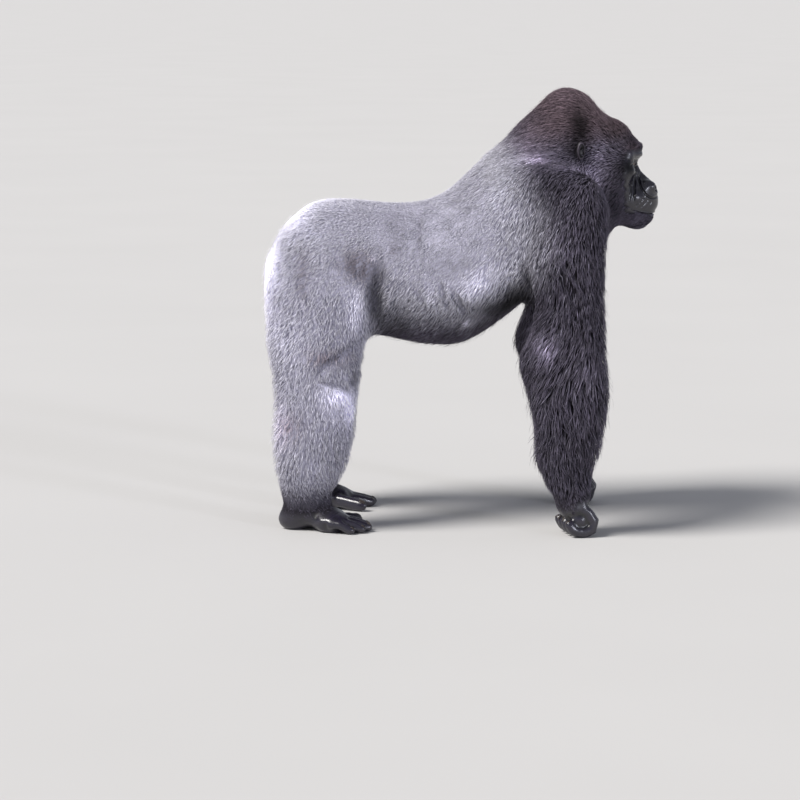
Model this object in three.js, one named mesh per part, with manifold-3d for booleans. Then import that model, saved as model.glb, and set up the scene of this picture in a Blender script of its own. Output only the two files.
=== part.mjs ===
// A grown male western lowland gorilla, standing on its knuckles and soles.
// Millimetres: X points forward, Y to the animal's left, Z up, and the floor is Z = 0.
// Every outline is that of the coat's tips, so bare skin is at full size and furred skin lies inside.
// The body is one smooth volume, worked out from a few profiles and muscles, which is then parted
// with thin cuts into the pieces that a person would name.
import * as THREE from "three";
import Module from "manifold-3d";
import { mergeVertices } from "three/addons/utils/BufferGeometryUtils.js";

const wasm = await Module();
wasm.setup();

// ---------------------------------------------------------------- driving dimensions
const CREST_HEIGHT = 1280; // floor to the top of the crest
const CUT = 0.4; // width of the cuts that part the body
const BODY_BLEND = 70; // how softly muscles of the trunk run into each other
const LIMB_BLEND = 45;
const HEAD_BLEND = 34;
const FACE_BLEND = 13;
// Facet sizes along X, Y and Z, longer along a part than round it, and finer where the form is finer.
const TRUNK_CELL = [93, 61, 60];
const NECK_CELL = [62, 55, 60];
const LIMB_CELL = [54, 54, 92];
const HEAD_CELL = [35, 32, 34];
const FACE_CELL = [21, 20.5, 21];
const PALM_CELL = [42, 38, 40];
const EYE_RADIUS = 12;
const EYE_CENTRE = { x: 495, y: 37, z: 1053 };
const EAR_CENTRE = { x: 352, y: 112, z: 1094 };
const HAND_STRIDE = { right: 0, left: 32 }; // how far each hand and foot stands ahead
const FOOT_STRIDE = { right: 0, left: 10 };
const SIDES = [
  ["right", -1],
  ["left", 1],
];

// ---------------------------------------------------------------- tools for smooth volumes
// A volume is a function of a point: about the distance to its surface, below zero inside.

const softMin = (a, b, soft) => {
  const near = Math.max(soft - Math.abs(a - b), 0);
  return Math.min(a, b) - (near * near) / (4 * soft);
};
const blend = (distances, soft) =>
  distances.reduce((a, b) => softMin(a, b, soft));
const hollow = (a, pit, soft) => -softMin(-a, pit, soft);

// An egg: an ellipsoid that may lean forward by a tilt in the XZ plane.
function egg(p, [x, y, z], [rx, ry, rz], tilt = 0) {
  const [c, s] = [Math.cos(tilt), Math.sin(tilt)];
  const [dx, dy, dz] = [p.x - x, p.y - y, p.z - z];
  const [u, v, w] = [dx * c + dz * s, dy, dz * c - dx * s];
  const k0 = Math.hypot(u / rx, v / ry, w / rz);
  const k1 = Math.hypot(u / (rx * rx), v / (ry * ry), w / (rz * rz));
  return k1 < 1e-9 ? -Math.min(rx, ry, rz) : (k0 * (k0 - 1)) / k1;
}

// A bar from a to b whose radius runs from ra to rb.
function bar(p, a, b, ra, rb) {
  const ab = b.map((v, i) => v - a[i]);
  const ap = [p.x - a[0], p.y - a[1], p.z - a[2]];
  const along = ab[0] * ap[0] + ab[1] * ap[1] + ab[2] * ap[2];
  const t = Math.min(Math.max(along / Math.hypot(...ab) ** 2, 0), 1);
  const off = ap.map((v, i) => v - ab[i] * t);
  return Math.hypot(...off) - ra - (rb - ra) * t;
}

// An oval section.
function oval(u, ru, v, rv) {
  const k0 = Math.hypot(u / ru, v / rv);
  const k1 = Math.hypot(u / (ru * ru), v / (rv * rv));
  return k1 < 1e-9 ? -Math.min(ru, rv) : (k0 * (k0 - 1)) / k1;
}

// Smooth values between a list of stations, as a function of the first of their keys.
function profile(stations) {
  const [key, ...others] = Object.keys(stations[0]);
  const sorted = [...stations].sort((a, b) => a[key] - b[key]);
  const curve = new THREE.CubicInterpolant(
    sorted.map((s) => s[key]),
    sorted.flatMap((s) => others.map((name) => s[name])),
    others.length,
    new Float64Array(others.length),
  );
  return {
    from: sorted[0][key],
    to: sorted.at(-1)[key],
    at: (t) => curve.evaluate(t),
  };
}

// ---------------------------------------------------------------- trunk
// The back's line, the belly's line and the half width, from the rump to the breastbone.
const TRUNK = profile([
  { x: -570, top: 770, under: 660, side: 45 },
  { x: -515, top: 868, under: 590, side: 130 },
  { x: -430, top: 941, under: 565, side: 190 },
  { x: -330, top: 951, under: 558, side: 215 },
  { x: -235, top: 942, under: 549, side: 222 },
  { x: -150, top: 935, under: 531, side: 238 },
  { x: -65, top: 956, under: 514, side: 256 },
  { x: 20, top: 1002, under: 529, side: 266 },
  { x: 110, top: 1062, under: 584, side: 268 },
  { x: 210, top: 1070, under: 662, side: 255 },
  { x: 310, top: 1045, under: 706, side: 222 },
  { x: 380, top: 990, under: 760, side: 155 },
  { x: 418, top: 920, under: 830, side: 50 },
]);

function trunk(p) {
  const q = { x: p.x, y: Math.abs(p.y), z: p.z };
  const [top, under, side] = TRUNK.at(p.x);
  const barrel = Math.max(
    oval(p.y, side, p.z - (top + under) / 2, (top - under) / 2),
    TRUNK.from - p.x,
    p.x - TRUNK.to,
  );
  return blend(
    [
      barrel,
      egg(q, [-440, 118, 735], [110, 112, 150]), // buttock
      egg(q, [215, 165, 950], [150, 105, 110], -0.35), // shoulder blade
      egg(q, [326, 105, 830], [80, 112, 108]), // breast
      egg(q, [140, 185, 820], [130, 72, 165]), // flank muscle, broadest behind the armpit
    ],
    BODY_BLEND,
  );
}

// ---------------------------------------------------------------- limbs
// Each limb is a column of ovals: its middle and its half depth fore and aft, then sideways.
const ARM = profile([
  { z: 1000, x: 312, foreAft: 58, y: 205, aside: 50 },
  { z: 940, x: 312, foreAft: 96, y: 228, aside: 88 },
  { z: 860, x: 311, foreAft: 105, y: 252, aside: 102 },
  { z: 754, x: 312, foreAft: 105, y: 276, aside: 98 },
  { z: 641, x: 316, foreAft: 100, y: 294, aside: 90 },
  { z: 583, x: 311, foreAft: 107, y: 301, aside: 92 },
  { z: 525, x: 297, foreAft: 126, y: 304, aside: 98 },
  { z: 458, x: 298, foreAft: 126, y: 302, aside: 102 },
  { z: 377, x: 306, foreAft: 118, y: 295, aside: 102 },
  { z: 296, x: 309, foreAft: 104, y: 285, aside: 95 },
  { z: 210, x: 304, foreAft: 87, y: 276, aside: 82 },
  { z: 150, x: 306, foreAft: 66, y: 272, aside: 70 },
  { z: 110, x: 316, foreAft: 40, y: 270, aside: 55 },
]);

const LEG = profile([
  { z: 800, x: -410, foreAft: 90, y: 110, aside: 60 },
  { z: 720, x: -412, foreAft: 146, y: 138, aside: 112 },
  { z: 640, x: -412, foreAft: 154, y: 155, aside: 122 },
  { z: 546, x: -418, foreAft: 148, y: 174, aside: 120 },
  { z: 500, x: -419, foreAft: 142, y: 184, aside: 114 },
  { z: 440, x: -416, foreAft: 126, y: 196, aside: 104 },
  { z: 400, x: -416, foreAft: 117, y: 201, aside: 98 },
  { z: 350, x: -423, foreAft: 114, y: 202, aside: 97 },
  { z: 290, x: -423, foreAft: 116, y: 198, aside: 97 },
  { z: 207, x: -427, foreAft: 113, y: 190, aside: 90 },
  { z: 150, x: -437, foreAft: 98, y: 185, aside: 76 },
  { z: 105, x: -448, foreAft: 74, y: 182, aside: 60 },
  { z: 60, x: -452, foreAft: 50, y: 182, aside: 46 },
]);

// A limb's foot end stands forward of its profile by the stride, its top end not at all.
const limb = (p, shape, stride) => {
  const z = Math.min(Math.max(p.z, shape.from), shape.to);
  const [x, foreAft, y, aside] = shape.at(z);
  const lean = stride[p.y < 0 ? "right" : "left"] * (1 - z / shape.to);
  return Math.max(
    oval(p.x - x - lean, foreAft, Math.abs(p.y) - y, aside),
    shape.from - p.z,
    p.z - shape.to,
  );
};

function arm(p) {
  const q = { x: p.x, y: Math.abs(p.y), z: p.z };
  return blend(
    [
      limb(p, ARM, HAND_STRIDE),
      egg(q, [322, 232, 925], [102, 108, 126]), // shoulder muscle
      egg(q, [262, 268, 720], [58, 66, 130], 0.08), // back of the upper arm
      egg(q, [222, 300, 520], [55, 60, 62]), // elbow
      egg(q, [348, 322, 425], [60, 76, 120]), // front of the forearm
    ],
    LIMB_BLEND,
  );
}

function leg(p) {
  const q = { x: p.x, y: Math.abs(p.y), z: p.z };
  return blend(
    [
      limb(p, LEG, FOOT_STRIDE),
      egg(q, [-350, 205, 385], [46, 62, 58]), // kneecap
      egg(q, [-470, 205, 290], [72, 78, 110]), // calf
    ],
    LIMB_BLEND,
  );
}

// The foot's body, without its toes: heel, instep and ball.
const FOOT_TURN = 0.2; // toes point outwards by this angle
const FOOT_PIVOT = { x: -450, y: 182 };
function sole(p) {
  const side = p.y < 0 ? "right" : "left";
  const [dx, dy] = [
    p.x - FOOT_PIVOT.x - FOOT_STRIDE[side],
    Math.abs(p.y) - FOOT_PIVOT.y,
  ];
  const [c, s] = [Math.cos(FOOT_TURN), Math.sin(FOOT_TURN)];
  const q = { x: dx * c + dy * s, y: dy * c - dx * s, z: p.z };
  return blend(
    [
      egg(q, [-34, 0, 32], [48, 38, 42]), // heel
      bar(q, [0, 0, 60], [70, 2, 38], 44, 34), // instep
      egg(q, [88, 18, 26], [60, 54, 31]), // ball, outer side
      egg(q, [70, -24, 26], [50, 34, 30]), // ball, root of the great toe
    ],
    24,
  );
}

// The hand's body, without its fingers.
const HAND_TURN = 0.22; // the row of knuckles turns in by this angle
const HAND_PIVOT = { x: 322, y: 270 };
function palm(p) {
  const side = p.y < 0 ? "right" : "left";
  const [dx, dy] = [
    p.x - HAND_PIVOT.x - HAND_STRIDE[side],
    Math.abs(p.y) - HAND_PIVOT.y,
  ];
  const [c, s] = [Math.cos(HAND_TURN), Math.sin(HAND_TURN)];
  const q = { x: dx * c - dy * s, y: dy * c + dx * s, z: p.z };
  return blend(
    [
      egg(q, [0, 0, 128], [42, 58, 52]), // wrist and back of the hand
      egg(q, [14, 0, 90], [37, 70, 36]), // the finger roots
      egg(q, [-6, 0, 70], [30, 66, 32]), // palm, closed on the curled fingers
      egg(q, [-14, -40, 112], [30, 29, 40]), // ball of the thumb
    ],
    26,
  );
}

// ---------------------------------------------------------------- neck and head
function neck(p) {
  const q = { x: p.x, y: Math.abs(p.y), z: p.z };
  return blend(
    [
      bar(p, [150, 0, 925], [318, 0, 1082], 150, 108),
      egg(q, [196, 52, 1035], [128, 78, 92], 0.72), // the two bands that run up to the crest
      egg(p, [335, 0, 935], [90, 108, 110]), // throat
      egg(p, [262, 0, 1118], [98, 78, 90]), // nape
    ],
    BODY_BLEND,
  );
}

function skull(p) {
  const q = { x: p.x, y: Math.abs(p.y), z: p.z };
  return blend(
    [
      egg(p, [318, 0, 1155], [101, 70, 120], 0.12), // crest
      egg(p, [385, 0, 1108], [108, 90, 90]), // braincase
      egg(p, [440, 0, 1096], [72, 80, 76]), // forehead
      egg(q, [350, 58, 1105], [88, 54, 92]), // muscle beside the crest
      egg(q, [425, 56, 985], [66, 50, 92]), // cheek, over the jaw's muscle
      egg(q, [452, 70, 1035], [42, 32, 36]), // cheekbone
      egg(p, [430, 0, 925], [72, 70, 62]), // under the jaw
    ],
    HEAD_BLEND,
  );
}

function face(p) {
  const q = { x: p.x, y: Math.abs(p.y), z: p.z };
  const solid = blend(
    [
      bar(q, [512, 0, 1086], [486, 62, 1080], 23, 20), // brow ridge
      egg(q, [478, 40, 1030], [34, 44, 34]), // below the eyes
      bar(p, [500, 0, 1052], [524, 0, 1000], 17, 20), // bridge of the nose
      egg(p, [500, 0, 944], [81, 60, 60]), // muzzle
      egg(q, [543, 25, 981], [28, 25, 23]), // wing of the nostril
      egg(p, [547, 0, 977], [28, 22, 23]), // tip of the nose
      egg(q, [488, 40, 948], [42, 34, 44]), // side of the muzzle
      egg(p, [508, 0, 905], [60, 48, 40]), // chin
    ],
    FACE_BLEND,
  );
  const socket = egg(q, [519, 37, 1053], [23, 19, 13]);
  return hollow(solid, socket, 10);
}

// The smooth volume of the whole animal.
const upperBody = (p) =>
  softMin(blend([trunk(p), neck(p)], BODY_BLEND), arm(p), LIMB_BLEND);
const head = (p) => softMin(skull(p), face(p), FACE_BLEND);
function body(p) {
  const bulk = softMin(upperBody(p), leg(p), BODY_BLEND);
  const feet = Math.min(sole(p), palm(p));
  return softMin(softMin(bulk, head(p), HEAD_BLEND), feet, 22);
}

// ---------------------------------------------------------------- from a volume to a solid
const CORNERS = [0, 1, 2, 3, 4, 5, 6, 7].map((n) => [
  n & 1,
  (n >> 1) & 1,
  n >> 2,
]);
const EDGES = CORNERS.flatMap((a, i) =>
  [0, 1, 2].filter((k) => !a[k]).map((k) => [i, i | (1 << k)]),
);

function gradient(field, p, step = 0.5) {
  const g = new THREE.Vector3();
  for (const axis of ["x", "y", "z"]) {
    const there = p.clone();
    there[axis] += step;
    const back = p.clone();
    back[axis] -= step;
    g[axis] = (field(there) - field(back)) / (2 * step);
  }
  return g;
}

// A closed surface of even facets on the volume's surface, inside a box of space.
function surface(field, low, high, cell) {
  const count = low.map((v, i) => Math.ceil((high[i] - v) / cell[i]) + 1);
  const stride = [1, count[0], count[0] * count[1]];
  const value = new Float32Array(stride[2] * count[2]);
  const size = new THREE.Vector3(...cell);
  const point = (i, j, k) =>
    new THREE.Vector3(i, j, k).multiply(size).add(new THREE.Vector3(...low));
  const outer = (n, axis) => n === 0 || n === count[axis] - 1;
  const visit = (inset, act) => {
    for (let k = 0; k < count[2] - inset; k++)
      for (let j = 0; j < count[1] - inset; j++)
        for (let i = 0; i < count[0] - inset; i++)
          act(i, j, k, i + j * stride[1] + k * stride[2]);
  };
  visit(0, (i, j, k, n) => {
    const edge = outer(i, 0) || outer(j, 1) || outer(k, 2);
    value[n] = edge ? size.x : field(point(i, j, k));
  });

  const vertexOf = new Int32Array(value.length).fill(-1);
  const positions = [];
  visit(1, (i, j, k, n) => {
    const at = CORNERS.map(([a, b, c]) => n + a + b * stride[1] + c * stride[2]);
    const crossed = EDGES.filter(
      ([a, b]) => value[at[a]] < 0 !== value[at[b]] < 0,
    );
    if (!crossed.length) return;
    const mean = new THREE.Vector3();
    for (const [a, b] of crossed) {
      const t = value[at[a]] / (value[at[a]] - value[at[b]]);
      CORNERS[a].forEach((v, axis) =>
        mean.setComponent(
          axis,
          mean.getComponent(axis) + v + t * (CORNERS[b][axis] - v),
        ),
      );
    }
    mean.divideScalar(crossed.length);
    const p = point(i, j, k).addScaledVector(mean.multiply(size), 1);
    const start = p.clone();
    for (let turn = 0; turn < 4; turn++) {
      const g = gradient(field, p);
      p.addScaledVector(g, -field(p) / Math.max(g.lengthSq(), 0.2));
    }
    if (p.distanceTo(start) > 0.6 * size.x) p.copy(start);
    vertexOf[n] = positions.length / 3;
    positions.push(p.x, p.y, p.z);
  });

  const index = [];
  const corner = (v) => new THREE.Vector3().fromArray(positions, 3 * v);
  visit(1, (i, j, k, n) => {
    for (let axis = 0; axis < 3; axis++) {
      const [b, c] = [stride[(axis + 1) % 3], stride[(axis + 2) % 3]];
      const inside = value[n] < 0;
      if (inside === value[n + stride[axis]] < 0) continue;
      const ring = [n - b - c, n - c, n, n - b].map((m) => vertexOf[m]);
      if (!inside) ring.reverse();
      const [p, q, r, s] = ring;
      const short =
        corner(p).distanceTo(corner(r)) < corner(q).distanceTo(corner(s));
      index.push(...(short ? [p, q, r, p, r, s] : [q, r, s, q, s, p]));
    }
  });
  return new THREE.BufferGeometry()
    .setAttribute("position", new THREE.Float32BufferAttribute(positions, 3))
    .setIndex(index);
}

function solid(geometry) {
  const bare = geometry.clone();
  bare.deleteAttribute("normal");
  bare.deleteAttribute("uv");
  const merged = mergeVertices(bare, 1e-3);
  return new wasm.Manifold(
    new wasm.Mesh({
      numProp: 3,
      vertProperties: merged.attributes.position.array,
      triVerts: new Uint32Array(merged.index.array),
    }),
  );
}

// The largest single body of a solid, without crumbs left by a cut.
const largest = (whole) =>
  whole.decompose().sort((a, b) => b.volume() - a.volume())[0];
const onFloor = (whole) => whole.trimByPlane([0, 0, 1], 0);

// ---------------------------------------------------------------- knives
// A convex outline, moved out by grow on every side.
function spread(outline, grow) {
  const turns = THREE.ShapeUtils.isClockWise(
    outline.map(([a, b]) => new THREE.Vector2(a, b)),
  );
  const ring = turns ? [...outline].reverse() : outline;
  return ring.map((here, i) => {
    const before = ring.at(i - 1);
    const after = ring[(i + 1) % ring.length];
    const [n1, n2] = [
      [before, here],
      [here, after],
    ].map(([a, b]) =>
      new THREE.Vector2(b[1] - a[1], a[0] - b[0]).normalize(),
    );
    const out = n1.clone().add(n2);
    return new THREE.Vector2(...here).addScaledVector(
      out,
      grow / Math.max(out.dot(n1), 0.2),
    );
  });
}

// A convex block: an outline in the plane across one axis, drawn out along that axis.
const PLANES = {
  x: [new THREE.Vector3(0, 1, 0), new THREE.Vector3(0, 0, 1)],
  y: [new THREE.Vector3(0, 0, 1), new THREE.Vector3(1, 0, 0)],
  z: [new THREE.Vector3(1, 0, 0), new THREE.Vector3(0, 1, 0)],
};
function block(axis, outline, from, to, grow = 0) {
  const given = axis === "y" ? outline.map(([x, z]) => [z, x]) : outline;
  const geometry = new THREE.ExtrudeGeometry(
    new THREE.Shape(spread(given, grow)),
    { depth: to - from + 2 * grow, bevelEnabled: false },
  );
  const [u, v] = PLANES[axis];
  const w = u.clone().cross(v);
  geometry.applyMatrix4(new THREE.Matrix4().makeBasis(u, v, w));
  geometry.translate(...w.multiplyScalar(from - grow).toArray());
  return solid(geometry);
}

const FAR = 700;
const sideBlock = (side, outline, near, far, grow) =>
  side < 0
    ? block("y", outline, -far, -near, grow)
    : block("y", outline, near, far, grow);

// Where each piece ends. Each knife takes a grow, so that its neighbours stay clear of it.
const KNIVES = {
  arm: (side, grow) => {
    const outline = (corners) => corners.map(([x, y]) => [x, y * side]);
    const fold = [
      [165, 262],
      [300, 186],
      [500, 186],
      [500, 500],
      [165, 500],
    ];
    const inside = (x, y) => [
      [x, y],
      [500, y],
      [500, 500],
      [x, 500],
    ];
    return block("z", outline(fold), 640, 1080, grow)
      .add(block("z", outline(inside(130, 186)), 480, 640.2, grow))
      .add(block("z", outline(inside(100, 60)), -20, 480.2, grow));
  },
  thigh: (side, grow) =>
    block(
      "x",
      [
        [CUT, -20],
        [500, -20],
        [500, 860],
        [290, 860],
        [CUT, 560],
      ].map(([y, z]) => [y * side, z]),
      -FAR,
      -240,
      grow,
    ),
  head: (grow) => {
    const wedge = (low, high) => {
      const behind = (z) => 440 - (z - 862) * 0.725;
      return [
        [behind(low), low],
        [640, low],
        [640, high],
        [behind(high), high],
      ];
    };
    return block("y", wedge(990, 1400), -138, 138, grow).add(
      block("y", wedge(862, 990.2), -104, 104, grow),
    );
  },
  face: (grow) =>
    block(
      "y",
      [
        [452, 800],
        [660, 800],
        [660, 1400],
        [452, 1400],
      ],
      -180,
      180,
      grow,
    ),
  jaw: (grow) =>
    block(
      "y",
      [
        [440, 780],
        [640, 780],
        [640, 893],
        [440, 931],
      ],
      -180,
      180,
      grow,
    ),
  neck: (grow) =>
    block(
      "y",
      [
        [470, 842],
        [760, 1400],
        [-80, 1400],
        [88, 1020],
      ],
      -400,
      400,
      grow,
    ),
  slab: (from, to, grow) =>
    block(
      "x",
      [
        [-FAR, -20],
        [FAR, -20],
        [FAR, 1400],
        [-FAR, 1400],
      ],
      from,
      to,
      grow,
    ),
  level: (from, to, grow) =>
    block(
      "z",
      [
        [-FAR, -FAR],
        [FAR, -FAR],
        [FAR, FAR],
        [-FAR, FAR],
      ],
      from,
      to,
      grow,
    ),
};

// ---------------------------------------------------------------- colours of the coat and skin
const finish = (color, roughness) =>
  new THREE.MeshStandardMaterial({ color, roughness, metalness: 0 });
const SILVER = finish("#8c8a92", 0.85);
const GREY = finish("#6b6870", 0.85);
const BLACK = finish("#2c2a2f", 0.85);
const BROWN = finish("#40363a", 0.85);
const BARE = finish("#26252a", 0.45);
const EYE = finish("#2a170c", 0.1);

const gorilla = new THREE.Group();
function place(name, piece, material) {
  const mesh = piece.getMesh();
  const stride = mesh.numProp;
  const positions = new Float32Array(mesh.numVert * 3);
  for (let i = 0; i < mesh.numVert; i++)
    positions.set(
      mesh.vertProperties.subarray(i * stride, i * stride + 3),
      i * 3,
    );
  const geometry = new THREE.BufferGeometry()
    .setAttribute("position", new THREE.BufferAttribute(positions, 3))
    .setIndex(new THREE.BufferAttribute(mesh.triVerts, 1));
  const shown = new THREE.Mesh(geometry, material);
  shown.name = name;
  gorilla.add(shown);
}

// ---------------------------------------------------------------- eyes and ears
const ball = (centre, radius, detail) =>
  new THREE.IcosahedronGeometry(radius, detail).translate(...centre);
const eyeAt = (side) => [EYE_CENTRE.x, side * EYE_CENTRE.y, EYE_CENTRE.z];

// A small ear: a rolled rim round a shallow bowl, set on the side of the head and tipped back.
function ear(side) {
  const rim = new THREE.TorusGeometry(22, 5.5, 5, 12).scale(0.68, 1.12, 1);
  const bowl = new THREE.SphereGeometry(1, 8, 4).scale(15, 24, 6);
  const root = new THREE.SphereGeometry(1, 6, 4)
    .scale(12, 17, 14)
    .translate(3, -2, -9);
  return [rim, bowl, root].map((part) => {
    part.rotateZ(0.12).rotateX(Math.PI / 2).rotateZ(Math.PI - 0.42);
    return solid(part)
      .scale([1, side, 1])
      .translate([EAR_CENTRE.x, side * EAR_CENTRE.y, EAR_CENTRE.z]);
  });
}

// ---------------------------------------------------------------- fingers and toes
// A digit: a six-sided tube along a bent line of joints, with a rounded tip.
const DIGIT_SIDES = 6;
function digit(joints, across, squash, grow = 0) {
  const path = new THREE.CatmullRomCurve3(
    joints.map(([x, y, z]) => new THREE.Vector3(x, y, z)),
    false,
    "centripetal",
  );
  const steps = joints.length;
  const radii = profile(joints.map(([, , , r], i) => ({ t: i, r })));
  const positions = [];
  const index = [];
  const ring = (centre, tangent, radius) => {
    const up = tangent.clone().cross(across).normalize();
    for (let s = 0; s < DIGIT_SIDES; s++) {
      const a = (2 * Math.PI * (s + 0.5)) / DIGIT_SIDES;
      const v = centre
        .clone()
        .addScaledVector(across, (radius * squash + grow) * Math.cos(a))
        .addScaledVector(up, (radius + grow) * Math.sin(a));
      positions.push(v.x, v.y, v.z);
    }
  };
  const tip = (centre) => positions.push(centre.x, centre.y, centre.z);
  const whole = [];
  for (let i = 0; i <= steps; i++) {
    const t = i / steps;
    whole.push([
      path.getPoint(t),
      path.getTangent(t),
      radii.at(t * (joints.length - 1))[0],
    ]);
  }
  const [last, out, r] = whole.at(-1);
  whole.push([last.clone().addScaledVector(out, 0.68 * (r + grow)), out, 0.7 * r]);
  tip(whole[0][0]);
  whole.forEach((w) => ring(...w));
  tip(last.clone().addScaledVector(out, r + grow));
  const at = (i, s) => 1 + i * DIGIT_SIDES + (s % DIGIT_SIDES);
  const end = positions.length / 3 - 1;
  for (let s = 0; s < DIGIT_SIDES; s++) {
    index.push(0, at(0, s), at(0, s + 1));
    for (let i = 0; i + 1 < whole.length; i++)
      index.push(
        ...[at(i, s), at(i + 1, s), at(i + 1, s + 1)],
        ...[at(i, s), at(i + 1, s + 1), at(i, s + 1)],
      );
    index.push(end, at(whole.length - 1, s + 1), at(whole.length - 1, s));
  }
  const made = solid(
    new THREE.BufferGeometry()
      .setAttribute("position", new THREE.Float32BufferAttribute(positions, 3))
      .setIndex(index),
  );
  if (made.volume() > 0) return made;
  for (let i = 0; i < index.length; i += 3)
    [index[i + 1], index[i + 2]] = [index[i + 2], index[i + 1]];
  return solid(
    new THREE.BufferGeometry()
      .setAttribute("position", new THREE.Float32BufferAttribute(positions, 3))
      .setIndex(index),
  );
}

// Joints are given in the hand's or foot's own frame and turned to where it stands.
function settle(joints, pivot, turn, stride, side) {
  const [c, s] = [Math.cos(turn), Math.sin(turn)];
  return joints.map(([x, y, z, r]) => [
    pivot.x + stride + x * c - y * s,
    side * (pivot.y + y * c + x * s),
    z,
    r,
  ]);
}

const FINGER_PITCH = 34.5;
const FINGER_WIDTH = 0.95; // of its depth
const FINGERS = [
  { name: "index_finger", slot: -1.5, reach: 0.94, thick: 19 },
  { name: "middle_finger", slot: -0.5, reach: 1.06, thick: 19.5 },
  { name: "ring_finger", slot: 0.5, reach: 1, thick: 19 },
  { name: "little_finger", slot: 1.5, reach: 0.86, thick: 18 },
];
// Out from the root, bent at the first joint, flat on the floor, and curled under the palm.
const fingerJoints = ({ slot, reach, thick: r }) => [
  [4, slot * FINGER_PITCH * 0.94, 94, r - 3],
  [18 + 20 * reach, slot * FINGER_PITCH, 66, r],
  [20 + 34 * reach, slot * FINGER_PITCH, 35, r + 1],
  [22 + 10 * reach, slot * FINGER_PITCH, r - 1.6, r + 0.5],
  [2 - 8 * reach, slot * FINGER_PITCH, r - 0.6, r - 1],
  [-17 - 6 * reach, slot * FINGER_PITCH, 37, r - 3.5],
];
const THUMB = [
  [-20, -40, 124, 20],
  [-20, -62, 100, 18.5],
  [-14, -74, 76, 16.5],
  [-6, -76, 57, 13],
];

const TOE_WIDTH = 0.92;
const TOES = [
  { name: "second_toe", y: -19, x: 122, reach: 62, thick: 16.5 },
  { name: "third_toe", y: 8.5, x: 132, reach: 62, thick: 16 },
  { name: "fourth_toe", y: 35, x: 126, reach: 55, thick: 15 },
  { name: "little_toe", y: 59.5, x: 108, reach: 48, thick: 13.5 },
];
const toeJoints = ({ y, x, reach, thick: r }) => [
  [x - 26, y, 26, r - 1],
  [x + 0.34 * reach, y, 25, r],
  [x + 0.68 * reach, y + 1, r - 0.4, r],
  [x + 0.92 * reach, y + 1.5, r - 2.2, r - 2],
];
const GREAT_TOE = [
  [58, -34, 28, 22],
  [92, -64, 24, 20],
  [118, -84, 19, 20.5],
  [134, -95, 17, 18],
];

// ---------------------------------------------------------------- the pieces
const trunkSkin = solid(
  surface(body, [-620, -360, 380], [520, 360, 1340], TRUNK_CELL),
);
const neckSkin = solid(
  surface(body, [0, -330, 760], [540, 330, 1340], NECK_CELL),
);
const headSkin = solid(
  surface(body, [0, -200, 790], [620, 200, 1340], HEAD_CELL),
);
const faceSkin = solid(
  surface(body, [430, -150, 830], [615, 150, 1200], FACE_CELL),
);

const limbCuts = SIDES.flatMap(([, side]) => [
  KNIVES.arm(side, CUT),
  KNIVES.thigh(side, CUT),
]);
const withoutLimbs = limbCuts.reduce((whole, cut) => whole.subtract(cut), trunkSkin);
const withoutNeck = withoutLimbs.subtract(KNIVES.neck(CUT));
place(
  "rump",
  largest(withoutNeck.intersect(KNIVES.slab(-FAR, -240, 0))),
  SILVER,
);
place(
  "belly",
  largest(withoutNeck.intersect(KNIVES.slab(-240 + CUT, 75, 0))),
  SILVER,
);
place("chest", largest(withoutNeck.intersect(KNIVES.slab(75 + CUT, FAR, 0))), GREY);

const headPiece = largest(
  headSkin.intersect(KNIVES.head(0)).subtract(KNIVES.face(CUT)),
);
const sockets = SIDES.map(([, side]) =>
  solid(ball(eyeAt(side), EYE_RADIUS + CUT, 1)),
);
place(
  "neck",
  largest(
    limbCuts
      .reduce((whole, cut) => whole.subtract(cut), neckSkin)
      .intersect(KNIVES.neck(0))
      .subtract(KNIVES.head(CUT))
      .subtract(KNIVES.face(CUT)),
  ),
  BLACK,
);
place("head", headPiece, BROWN);
place(
  "face",
  largest(
    sockets.reduce(
      (whole, cut) => whole.subtract(cut),
      faceSkin.intersect(KNIVES.face(0)).subtract(KNIVES.jaw(CUT)),
    ),
  ),
  BARE,
);
place(
  "lower_jaw",
  largest(
    faceSkin.intersect(KNIVES.face(0)).intersect(KNIVES.jaw(0)),
  ),
  BARE,
);

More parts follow.
